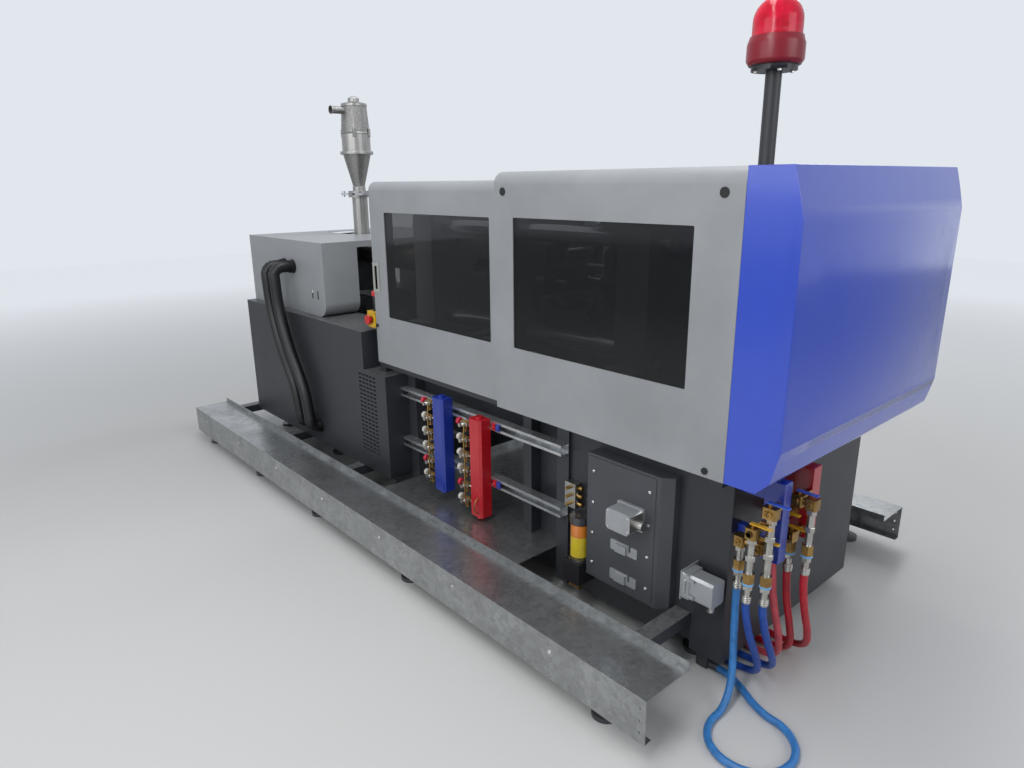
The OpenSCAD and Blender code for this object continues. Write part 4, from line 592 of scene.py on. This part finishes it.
def take_off_finish(middle):
    """Says which part of a take-off, or of the supply header, a face belongs to."""
    if middle.z < header_top_z:
        return 4
    for hose_x, hose_y, top, port_x, port_z, lever in take_offs:
        if (abs(middle.y - hose_y) < lever_half_width
                and abs(middle.x - port_x - lever_middle) < lever_half_length
                and port_z + lever_low < middle.z < port_z + lever_high):
            return lever
        from_hose = math.hypot(middle.x - hose_x, middle.y - hose_y)
        if from_hose < ferrule_radius and middle.z < top + ferrule_length:
            return 1
        if from_hose < column_radius and middle.z < port_z - elbow_foot:
            return 1
    return 0


dressed("end_valves", body_name, "brass", [brass, nickel, lever_yellow, lever_blue, foot_steel],
        take_off_finish)
ferrule_rings = bmesh.new()
swivel_rings = bmesh.new()
hex_couplings = bmesh.new()
elbow_plugs = bmesh.new()
elbow_plug = [(0.0001, 0.002), (0.0035, 0.002), (0.0035, 0.006), (0.0085, 0.006), (0.0095, 0.005),
              (0.0095, 0.001), (0.0125, 0.0008), (0.0125, 0)]
for hose_x, hose_y, top, port_x, port_z, lever in take_offs:
    for height in ring_heights:
        turned(ferrule_rings, ferrule_ring, (hose_x, hose_y, top + height), (0, 0, 1), 24)
    turned(swivel_rings, collar(0.0101, 0.0175, 0.007), (hose_x, hose_y, top + swivel_height),
           (0, 0, 1), 24)
    couplings = max(1, round((port_z - top - fittings_length) / coupling_pitch))
    for place in range(couplings):
        level = port_z - coupling_drop - coupling_height - place * coupling_pitch
        if level > top + lowest_coupling:
            turned(hex_couplings, collar(0.0111, 0.0155, coupling_height),
                   (hose_x, hose_y, level), (0, 0, 1), 6)
    for elbow_x in (port_x, hose_x):
        turned(elbow_plugs, elbow_plug, (elbow_x, hose_y - elbow_foot, port_z), (0, -1, 0), 6)
finished(hex_couplings, "hex_couplings", body_name, "strut_metal", nickel)
finished(elbow_plugs, "elbow_plugs", body_name, "brass", brass)
finished(ferrule_rings, "ferrule_rings", body_name, "strut_metal", nickel)
finished(swivel_rings, "swivel_rings", body_name, "hose_light_blue",
         gloss_paint("ring_nylon", srgb(120, 176, 226), 0.4, 0.1))


# Electrical box and plugs
# A folded steel box with a screwed cover, plug housings cast in grey aluminium, each with its
# gland and spring latch, and blanking plates over the openings that are not used.
box_paint = powder_coat("box_powder_coat", srgb(70, 72, 77), 0.42, 0.35, 0.15)
bright_screw = cast_metal("bright_screw", srgb(205, 206, 208), 0.25, 1.0, 0.15)
box_lid_y = -0.506
screw_tip_y = -0.50305
dressed("junction_box", body_name, "box_dark", [box_paint, bright_screw],
        lambda middle: 1 if middle.y < screw_tip_y else 0, 0.0012)
box_screw = [(0.0001, 0.0012), (0.002, 0.0012), (0.002, 0.0026), (0.0042, 0.0022), (0.0058, 0.001),
             (0.006, 0)]
lowest_screw_z, screw_pitch = 0.247, 0.116
screw_heads = bmesh.new()
for screw_x in (1.155, 1.393):
    for row in range(4):
        turned(screw_heads, box_screw, (screw_x, box_lid_y, lowest_screw_z + screw_pitch * row),
               (0, -1, 0), 16)
finished(screw_heads, "box_screw_heads", body_name, "strut_metal", bright_screw)
casting = cast_metal("connector_casting", srgb(176, 179, 182), 0.4, 0.5, 0.12)
box_gland_x = (1.3715, 1.5)
box_front_y = -0.51
side_plug_x = 1.6
side_gland_z = 0.2995


def plug_finish(middle):
    """Plated glands, beside the plug on the box and under the plug at the end; castings elsewhere."""
    box_gland = box_gland_x[0] < middle.x < box_gland_x[1] and middle.y < box_front_y
    side_gland = middle.x > side_plug_x and middle.z < side_gland_z
    return 1 if box_gland or side_gland else 0


dressed("hood_connectors", body_name, "connector_grey", [casting, nickel], plug_finish, 0.002)
bent_wire("side_latch", [(1.566, -0.529, 0.372), (1.562, -0.534, 0.366), (1.560, -0.5345, 0.342),
                         (1.562, -0.534, 0.318), (1.566, -0.529, 0.312), (1.580, -0.529, 0.312)],
          0.004, body_name, bright_screw)


def socket_screw(socket, depth, shoulder, radius):
    """Outline of a low screw head with a socket in its middle."""
    return [(0.0001, depth), (socket, depth), (socket, depth + 0.0012), (shoulder, depth + 0.0008),
            (radius, 0)]


hood_front_y = -0.575
hood_screws = bmesh.new()
for screw_x, screw_z in ((1.281, 0.459), (1.281, 0.515), (1.362, 0.466), (1.362, 0.512)):
    turned(hood_screws, socket_screw(0.0018, 0.0004, 0.0034, 0.004), (screw_x, hood_front_y, screw_z),
           (0, -1, 0), 12)
finished(hood_screws, "hood_screws", body_name, "strut_metal", bright_screw)


# Grease pump
# A black pump foot with a clear cartridge of grease under a black cap, and a plated steel block
# that shares the grease out through brass fittings.
def clear_over_grease(name, fill_z, grease, above):
    """Clear plastic with one tint up to fill_z, where the grease stands, and another above it."""
    material, nodes, links, shader = new_material(name)
    place = nodes.new("ShaderNodeTexCoord")
    parts = nodes.new("ShaderNodeSeparateXYZ")
    links.new(place.outputs["Object"], parts.inputs["Vector"])
    beyond = nodes.new("ShaderNodeMath")
    beyond.operation = "GREATER_THAN"
    beyond.inputs[1].default_value = fill_z
    links.new(parts.outputs["Z"], beyond.inputs[0])
    marks = noise(nodes, links, 12, 6, 0.6)
    mixed = nodes.new("ShaderNodeMix")
    mixed.data_type = "RGBA"
    links.new(beyond.outputs["Value"], mixed.inputs["Factor"])
    links.new(two_tone(nodes, links, marks.outputs["Fac"], shaded(grease, 0.85), grease),
              mixed.inputs["A"])
    links.new(two_tone(nodes, links, marks.outputs["Fac"], shaded(above, 0.85), above),
              mixed.inputs["B"])
    links.new(mixed.outputs["Result"], shader.inputs["Base Color"])
    links.new(spread(nodes, links, marks.outputs["Fac"], 0.27, 0.15), shader.inputs["Roughness"])
    shader.inputs["Coat Weight"].default_value = 0.6
    return material


pump_black = powder_coat("pump_black", srgb(30, 30, 33), 0.4, 0.2)
cartridge = clear_over_grease("cartridge", 0.318, srgb(226, 200, 48), srgb(226, 132, 44))
cap_smoke = gloss_paint("cap_smoke", srgb(62, 62, 66), 0.2, 0.5)
fittings_x = 1.0635
sharing_block_x, sharing_block_y = 1.0405, -0.4745
union_top_z = 0.1375
pump_foot_top_z, cartridge_top_z = 0.2325, 0.3702


def pump_finish(middle):
    """Says which part of the grease pump a face belongs to."""
    if middle.x < fittings_x:
        return 3 if middle.x < sharing_block_x and middle.y > sharing_block_y else 4
    if middle.z < union_top_z:
        return 4
    if middle.z < pump_foot_top_z:
        return 0
    return 1 if middle.z < cartridge_top_z else 2


dressed("grease_pump", body_name, "pump_black", [pump_black, cartridge, cap_smoke, nickel, brass],
        pump_finish, 0.001)
pump_axis = (1.078, -0.486)
pump_bands = bmesh.new()
for band_z in (0.2335, 0.3655):
    turned(pump_bands, [(0.0351, 0), (0.0362, 0.001), (0.0362, 0.005), (0.0351, 0.006)],
           (*pump_axis, band_z), (0, 0, 1), 32)
finished(pump_bands, "pump_bands", body_name, "pump_black", pump_black)


# Covers and doors
# Folded sheet steel in a light grey fine-textured coat; the end cover is a glossy blue. The covers
# are screwed on under black plugs, and the doors slide on the door frame's rails.
cover_paint = powder_coat("cover_powder_coat", srgb(150, 153, 156), 0.38, 0.14, 0.1, (0.36, 0.36, 0.35))
plug_black = powder_coat("plug_black", srgb(16, 16, 18), 0.5, 0.2)
cover_plug_y = 0.5501
dressed("clamp_cover", body_name, "cover_grey", [cover_paint, plug_black],
        lambda middle: 1 if abs(middle.y) > cover_plug_y else 0, 0.0016)
dressed("injection_cover", body_name, "cover_grey", [cover_paint], None, 0.0016)
# Dark blocks a little inside the cover, behind its slots, are painted shade: they make the slots read dark.
slot_back_y = 0.5125
slot_back_low, slot_back_high = 0.935, 0.995
back_half_width, back_half_depth = 0.014, 0.004
slot_shade_blocks = bmesh.new()
for side in (-1, 1):
    for slot_x in (-0.780, -0.840):
        block(slot_shade_blocks,
              (slot_x - back_half_width, side * slot_back_y - back_half_depth, slot_back_low),
              (slot_x + back_half_width, side * slot_back_y + back_half_depth, slot_back_high))
finished(slot_shade_blocks, "cover_slot_shade_blocks", body_name, "cover_grey", plug_black)

# Each door has a grip, a black pocket in the sheet with a raised grey frame round it.
grip_x, grip_z = (-0.1775, -0.1465), (1.0855, 1.1925)
grip_y = (0.505, 0.5248)
frame_x, frame_z = (-0.1875, -0.137), (1.072, 1.206)
frame_foot_y = 0.5252
frame_rise = 0.0045
frame_rim = 0.0145
frame_edge = 0.0012


def door_finish(middle):
    """Tells the pocket of the grip from the rest of the door."""
    in_grip = grip_x[0] < middle.x < grip_x[1] and grip_z[0] < middle.z < grip_z[1]
    return 1 if in_grip and grip_y[0] < abs(middle.y) < grip_y[1] else 0


for door, door_body, side in (("near_door", "door_near", -1), ("far_door", "door_far", 1)):
    dressed(door, door_body, "door_grey", [cover_paint, plug_black], door_finish, 0.0012)
    grip_frame = bmesh.new()
    corners = [grip_frame.verts.new((x, side * frame_foot_y, z))
               for x, z in ((frame_x[0], frame_z[0]), (frame_x[1], frame_z[0]),
                            (frame_x[1], frame_z[1]), (frame_x[0], frame_z[1]))]
    plate = grip_frame.faces.new(corners)
    grip_frame.normal_update()
    bmesh.ops.inset_region(grip_frame, faces=[plate], thickness=frame_rim, use_boundary=True,
                           use_even_offset=True)
    bmesh.ops.delete(grip_frame, geom=[plate], context="FACES_ONLY")
    front = bmesh.ops.extrude_face_region(grip_frame, geom=grip_frame.faces[:])["geom"]
    bmesh.ops.translate(grip_frame, verts=[part for part in front if isinstance(part, bmesh.types.BMVert)],
                        vec=(0, side * frame_rise, 0))
    bmesh.ops.recalc_face_normals(grip_frame, faces=grip_frame.faces[:])
    bmesh.ops.bevel(grip_frame, geom=grip_frame.edges[:], offset=frame_edge, offset_type="OFFSET",
                    segments=2, profile=0.5, affect="EDGES", clamp_overlap=True, material=-1)
    finished(grip_frame, door + "_grip_frame", door_body, "door_grey",
             gloss_paint(door + "_grip_plastic", srgb(172, 174, 168), 0.4, 0.1))
paint("door_frame", powder_coat("frame_powder_coat", srgb(46, 48, 53), 0.42, 0.3, 0.2))
dressed("end_cover", body_name, "cover_blue",
        [gloss_paint("end_cover_enamel", srgb(50, 80, 200), 0.16, 0.5, 0.03, 0.05)], None, 0.004)

# The windows are tinted safety glazing: mostly dark, with clean reflections.
pane_tint = srgb(20, 22, 25)
window_tint = mottled("smoked_window", (5, 5), shaded(pane_tint, 0.8), pane_tint, (0.1, 0.04),
                      sockets={"Alpha": 0.66})
for pane in ("cover_windows", "near_door_window", "far_door_window"):
    paint(pane, window_tint)


# Beacon
# A dark steel pole, a maroon lamp ring and a clear red dome over a turning reflector. The dome
# is moulded with fine upright flutes that spread the light.
beacon_x = 1.413
ring_foot_z = 1.8912
bolt_low_z, bolt_high_z = 1.8695, 1.8759


def pole_finish(middle):
    """Tells the lamp ring and its bolts from the pole."""
    if middle.z > ring_foot_z:
        return 1
    return 2 if bolt_low_z < middle.z < bolt_high_z else 0


dressed("beacon_pole", body_name, "pole_dark",
        [powder_coat("pole_enamel", srgb(46, 46, 50), 0.42, 0.2),
         gloss_paint("ring_plastic", srgb(134, 0, 30), 0.32, 0.0, 0.03, 0.1), nickel], pole_finish, 0.0008)
dome_foot = 1.974
dome_shoulder = 2.016
dome_top = 2.0899
dome_radius = 0.0748
dome_wall = 0.003
flutes = 60
flute_low, flute_high = 1.977, 2.06
flute_depth = 0.012
arch = [(dome_radius * math.cos(math.radians(7.5 * step)),
         dome_shoulder + (dome_top - dome_shoulder) * math.sin(math.radians(7.5 * step)))
        for step in range(12)]
inner_arch = [(radius - dome_wall if radius > 0.02 else radius * 0.9, height - dome_wall)
              for radius, height in arch[::-1]]
dome = bmesh.new()
turned(dome, [(dome_radius - dome_wall, dome_foot), (dome_radius, dome_foot + 0.0002),
              (dome_radius, 1.978), (dome_radius, 1.995)] + arch
       + [(0.0001, dome_top), (0.0001, dome_top - dome_wall)] + inner_arch,
       (beacon_x, 0, 0), (0, 0, 1), flutes * 2)
for vert in dome.verts:
    spoke = Vector((vert.co.x - beacon_x, vert.co.y))
    turn = round(math.atan2(spoke.y, spoke.x) / math.pi * flutes)
    if turn % 2 and flute_low < vert.co.z < flute_high and spoke.length > 0.06:
        vert.co.x -= spoke.x * flute_depth
        vert.co.y -= spoke.y * flute_depth
dome_acrylic = mottled("dome_acrylic", (30, 4), srgb(206, 0, 40), srgb(236, 4, 60), (0.1, 0.18),
                       sockets={"Alpha": 0.86, "Specular IOR Level": 0.35})
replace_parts(finished(dome, "beacon_dome_fluted", body_name, "dome_red", dome_acrylic), "beacon_dome")
paint("beacon_reflector", cast_metal("reflector_mirror", srgb(225, 226, 230), 0.12, 1.0, 0.1))


# Clamp unit
# Painted and machined castings on ground tie bars, with forged toggle links on pins. A screw,
# turned by a motor through a toothed belt, drives the crosshead.
platen_paint = cast_metal("platen_nickel", srgb(168, 170, 172), 0.4, 0.7, 0.2)
link_steel = cast_metal("link_steel", srgb(120, 123, 128), 0.36, 0.9, 0.25)
ground_steel = cast_metal("ground_steel", srgb(198, 200, 204), 0.18, 1.0, 0.1)
for part in ("fixed_platen", "moving_platen", "rear_platen"):
    paint(part, platen_paint)
for part in ("tie_bars", "drive_screw"):
    paint(part, ground_steel)
for part in ("ejector_plate", "crosshead", "rear_link_top", "front_link_top", "short_link_top",
             "rear_link_bottom", "front_link_bottom", "short_link_bottom", "motor_pulley"):
    paint(part, link_steel)
belt_rubber, nodes, links, shader = new_material("belt_rubber")
weave = noise(nodes, links, 300, 3)
links.new(two_tone(nodes, links, weave.outputs["Fac"], srgb(18, 18, 19), srgb(36, 36, 38)),
          shader.inputs["Base Color"])
shader.inputs["Roughness"].default_value = 0.7
paint("drive_belt", belt_rubber)
paint("clamp_motor", powder_coat("motor_enamel", srgb(34, 35, 38), 0.38))


# Injection unit
# Cast carriage plates and a heat-tinted barrel, which slide on two rails. The vacuum loader on the
# barrel is spun from stainless sheet and clamped together, with a sieve round its upper half.
paint("injection_carriage", cast_metal("carriage_casting", srgb(96, 99, 104), 0.45, 0.4, 0.2))
paint("barrel", cast_metal("barrel_steel", srgb(160, 150, 136), 0.36, 0.9, 0.4))
paint("plasticizing_screw", ground_steel)
paint("pusher_plate", cast_metal("pusher_casting", srgb(112, 115, 121), 0.42, 0.5, 0.2))
stainless = mottled("brushed_stainless", (60, 4, 0.6, (6, 6, 0.15)), srgb(132, 131, 129),
                    srgb(174, 173, 170), (0.28, 0.42), sockets={"Metallic": 0.9})
# The sieve's dark dots stand for its holes: painted shade, as seen through them into the loader; the same
# dots also dent its surface and make it rougher.
sieve, nodes, links, shader = new_material("sieve_steel")
place = nodes.new("ShaderNodeTexCoord")
holes = nodes.new("ShaderNodeTexVoronoi")
holes.inputs["Scale"].default_value = 260
links.new(place.outputs["Object"], holes.inputs["Vector"])
links.new(two_tone(nodes, links, holes.outputs["Distance"], srgb(84, 83, 82), srgb(150, 149, 147), 0.2, 0.5),
          shader.inputs["Base Color"])
links.new(raised(nodes, links, holes.outputs["Distance"], 0.4, 0.001), shader.inputs["Normal"])
links.new(spread(nodes, links, holes.outputs["Distance"], 0.6, 0.4), shader.inputs["Roughness"])
shader.inputs["Metallic"].default_value = 0.8
hopper_x = -1.18
throat = [(0.0001, 1.2452), (0.075, 1.2452), (0.075, 1.258), (0.074, 1.259), (0.045, 1.259),
          (0.045, 1.4725), (0.065, 1.4725), (0.065, 1.4845), (0.0001, 1.4845)]
cone_and_drum = [(0.0001, 1.4955), (0.065, 1.4955), (0.065, 1.5075), (0.064, 1.5085), (0.0375, 1.5085),
                 (0.0375, 1.533), (0.034, 1.536), (0.0795, 1.712), (0.0935, 1.712), (0.0945, 1.714),
                 (0.0945, 1.727), (0.0935, 1.729), (0.0815, 1.729), (0.0812, 1.824), (0.0835, 1.826),
                 (0.085, 1.829), (0.0835, 1.832), (0.0805, 1.834)]
lid = [(0.0712, 1.972), (0.0735, 1.974), (0.0735, 1.986), (0.069, 1.990), (0.040, 1.996),
       (0.032, 1.998), (0.032, 2.016), (0.0295, 2.0195), (0.0001, 2.0205)]
suction_pipe = [(0.019, -0.02), (0.019, 0.072), (0.023, 0.074), (0.023, 0.080), (0.020, 0.080),
                (0.020, -0.02)]
gate_low, gate_high = 1.484, 1.496
gate_post_y = 0.058
post_half_length, post_half_width = 0.020, 0.005
suction_y, suction_z = -0.070, 1.950
clip_radius = 0.0835
clip_half = 0.007
clip_low, clip_high = 1.806, 1.852
sieve_low, sieve_high = 1.836, 1.971
sieve_inner, sieve_outer, sieve_side = 0.069, 0.0825, 0.0815
loader = bmesh.new()
for outline in (throat, cone_and_drum + lid):
    turned(loader, outline, (hopper_x, 0, 0), (0, 0, 1), 64)
for side in (-1, 1):
    block(loader, (hopper_x - post_half_length, side * gate_post_y - post_half_width, gate_low),
          (hopper_x + post_half_length, side * gate_post_y + post_half_width, gate_high))
turned(loader, suction_pipe, (hopper_x, suction_y, suction_z), (0, -1, 0), 40)
for turn in (35, 145, 215, 325):
    clip_x = hopper_x + clip_radius * math.cos(math.radians(turn))
    clip_y = clip_radius * math.sin(math.radians(turn))
    block(loader, (clip_x - clip_half, clip_y - clip_half, clip_low),
          (clip_x + clip_half, clip_y + clip_half, clip_high), 0.002)
for face in loader.faces:
    middle = face.calc_center_median()
    from_axis = math.hypot(middle.x - hopper_x, middle.y)
    if (sieve_low < middle.z < sieve_high and sieve_inner < from_axis < sieve_outer
            and len(face.verts) == 4 and abs(middle.y) < sieve_side):
        face.material_index = 1
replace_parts(finished(loader, "vacuum_loader", "carriage", "hopper_grey", stainless, sieve), "hopper")
bent_wire("loader_grip", [(hopper_x, -0.024, 2.0185), (hopper_x, -0.0235, 2.025), (hopper_x, -0.018, 2.0278),
                          (hopper_x, 0.018, 2.0278), (hopper_x, 0.0235, 2.025), (hopper_x, 0.024, 2.0185)],
          0.0042, "carriage", bright_screw)
paint("hopper_gate", ground_steel)


# Cooling ducts
# Two ribbed rubber ducts take cooling air from the injection cover down into the cabinet. Each is
# held at both ends by a collar with a clamp band.
duct_rubber = powder_coat("duct_rubber", srgb(9, 9, 10), 0.42, 0.2)
duct_radius = 0.031
bend = 0.044
cover_side_y, cabinet_side_y = -0.520, -0.575
duct_y = cabinet_side_y - bend - 0.012
duct_top, duct_foot = 1.120, 0.290
duct_ends = ((-1.040, -0.760), (-1.140, -0.870))
in_cover_y, in_cabinet_y = cover_side_y - 0.004, cabinet_side_y - 0.005
rib_step = 0.0065
between_ribs = 0.91
lug_low, lug_high = Vector((0.030, -0.0225, -0.006)), Vector((0.042, -0.0155, 0.006))

# Between its bends a duct sways: share of its fall, share of its way to the foot, sway along x.
sways = ((0.28, 0, 0.026), (0.52, 0.5, -0.030), (0.76, 1, -0.040))
duct_collar = [(0.0285, 0), (0.039, 0), (0.039, 0.003), (0.0325, 0.005), (0.0325, 0.014),
               (0.0345, 0.0145), (0.0345, 0.0235), (0.0325, 0.024), (0.0325, 0.028), (0.0285, 0.028)]


def quarter(x, z, first):
    """Points of a quarter bend between the duct's run and the sheet that it goes into."""
    return [Vector((x, duct_y + bend + bend * math.cos(math.radians(first + 22.5 * step)),
                    z + bend * math.sin(math.radians(first + 22.5 * step)))) for step in range(5)]


def smooth_run(knots):
    """Points a rib apart along a smooth line through the knots."""
    run = []
    for place in range(len(knots) - 1):
        here, there = knots[place], knots[place + 1]
        before = knots[max(place - 1, 0)]
        after = knots[min(place + 2, len(knots) - 1)]
        reach = (there - here).length
        leave = (there - before).normalized() * reach
        arrive = (after - here).normalized() * reach
        steps = max(2, 2 * round(reach / rib_step / 2))
        for step in range(steps):
            u = step / steps
            run.append(here * (2 * u ** 3 - 3 * u ** 2 + 1) + leave * (u ** 3 - 2 * u ** 2 + u)
                       + there * (3 * u ** 2 - 2 * u ** 3) + arrive * (u ** 3 - u ** 2))
    return run + [knots[-1]]


ducts = []
fall = duct_top - duct_foot
for number, (top_x, foot_x) in enumerate(duct_ends, 1):
    hang = [Vector((top_x + way * (foot_x - top_x) + sway, duct_y, duct_top - share * fall))
            for share, way, sway in sways]
    ribs = smooth_run([Vector((top_x, in_cover_y, duct_top))] + quarter(top_x, duct_top - bend, 90)
                      + hang + quarter(foot_x, duct_foot + bend, 180)
                      + [Vector((foot_x, in_cabinet_y, duct_foot))])
    line = bpy.data.curves.new("cooling_duct_%d" % number, "CURVE")
    line.dimensions = "3D"
    line.bevel_depth = duct_radius
    line.bevel_resolution = 5
    line.use_fill_caps = True
    line.twist_mode = "MINIMUM"
    spline = line.splines.new("POLY")
    spline.points.add(len(ribs) - 1)
    for place, (knot, point) in enumerate(zip(spline.points, ribs)):
        knot.co = (*point, 1)
        knot.radius = 1.0 if place % 2 else between_ribs
    spline.use_smooth = True
    line.materials.append(duct_rubber)
    duct = placed("cooling_duct_%d" % number, line)
    ducts.append(duct)
    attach(duct, body_name)
    collars = bmesh.new()
    for seat in ((top_x, cover_side_y, duct_top), (foot_x, cabinet_side_y, duct_foot)):
        turned(collars, duct_collar, seat, (0, -1, 0), 40)
        block(collars, Vector(seat) + lug_low, Vector(seat) + lug_high)
    finished(collars, "duct_collars_%d" % number, body_name, "duct_black", duct_rubber)

# The frame has both ducts as one solid, and the first of them stands for it.
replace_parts(ducts[0], "cooling_ducts")


# Emergency stops and panel
# Moulded plastic: a yellow station with a red lamp on a stalk, screwed to the cabinet beside the
# door, red mushroom buttons, and a light grey operator panel on legs at the other side.
button_red = gloss_paint("mushroom_red", srgb(205, 22, 26), 0.3, 0.3, 0.03, 0.08)
station_yellow = gloss_paint("station_yellow", srgb(226, 182, 28), 0.38, 0.1, 0.05)
stalk_foot_z, station_lamp_z = 0.9745, 1.046
bracket_y = -0.4738


def station_finish(middle):
    """Tells the stalk, its lamp and the bracket from the yellow housing."""
    if middle.z > stalk_foot_z:
        return 1 if middle.z > station_lamp_z else 2
    return 2 if middle.y > bracket_y else 0


dressed("estop_station", body_name, "estop_yellow", [station_yellow, button_red, plug_black],
        station_finish, 0.0015)
station_x, station_front_y, station_z = -0.235, -0.525, 0.936
stalk_y = -0.497
stalk_ring_z, lamp_cap_z = 0.974, 1.043
screw_heights, screw_from_middle = (0.904, 0.968), 0.030
station_trim = bmesh.new()
turned(station_trim, [(0.0112, 0), (0.0165, 0), (0.016, 0.0006), (0.0112, 0.0008)],
       (station_x, station_front_y, station_z), (0, -1, 0), 32)
turned(station_trim, [(0.0101, 0), (0.014, 0), (0.015, 0.002), (0.015, 0.007), (0.0101, 0.009)],
       (station_x, stalk_y, stalk_ring_z), (0, 0, 1), 24)
for screw_z in screw_heights:
    for side in (-1, 1):
        turned(station_trim, socket_screw(0.0014, 0.0006, 0.003, 0.0034),
               (station_x + side * screw_from_middle, station_front_y, screw_z), (0, -1, 0), 12)
finished(station_trim, "station_trim", body_name, "connector_grey", plug_black)
lamp_cap = bmesh.new()
turned(lamp_cap, [(0.0102, 0), (0.0145, 0.001), (0.0155, 0.004), (0.0155, 0.018), (0.013, 0.023),
                  (0.007, 0.0258), (0.0001, 0.0265)],
       (station_x, stalk_y, lamp_cap_z), (0, 0, 1), 28)
finished(lamp_cap, "station_lamp_cap", body_name, "estop_red", button_red)

# A key that releases the door's lock sits low on its edge.
key_x, key_seat_y, key_z = -0.1765, -0.525, 0.916
bow_front_y, bow_back_y = -0.5355, -0.5325
bow_half_width, bow_half_height = 0.002, 0.011
door_key = bmesh.new()
turned(door_key, [(0.0001, 0.009), (0.0035, 0.009), (0.0035, 0.0035), (0.0075, 0.0025), (0.0085, 0)],
       (key_x, key_seat_y, key_z), (0, -1, 0), 20)
block(door_key, (key_x - bow_half_width, bow_front_y, key_z - bow_half_height),
      (key_x + bow_half_width, bow_back_y, key_z + bow_half_height), 0.001)
finished(door_key, "door_release_key", "door_near", "connector_grey", plug_black)
paint("estop_button", button_red)
paint("panel_estop_button", button_red)
legs_y = 0.5449
screen_y, screen_low_z = (0.6095, 0.6115), 1.233
keys_y, keys_high_z = 0.6151, 1.2


def panel_finish(middle):
    """Tells the legs, the screen and the keys from the panel's housing."""
    if middle.y < legs_y:
        return 3
    if screen_y[0] < middle.y < screen_y[1] and middle.z > screen_low_z:
        return 1
    return 2 if middle.y > keys_y and middle.z < keys_high_z else 0


dressed("operator_panel", body_name, "panel_grey",
        [gloss_paint("panel_plastic", srgb(188, 190, 192), 0.45, 0.0, 0.1, 0.05),
         gloss_paint("screen_glass", srgb(18, 20, 24), 0.12, 0.6, 0.0, 0.1),
         gloss_paint("key_rubber", srgb(70, 74, 80), 0.5, 0.0, 0.1, 0.1), plug_black], panel_finish, 0.0015)
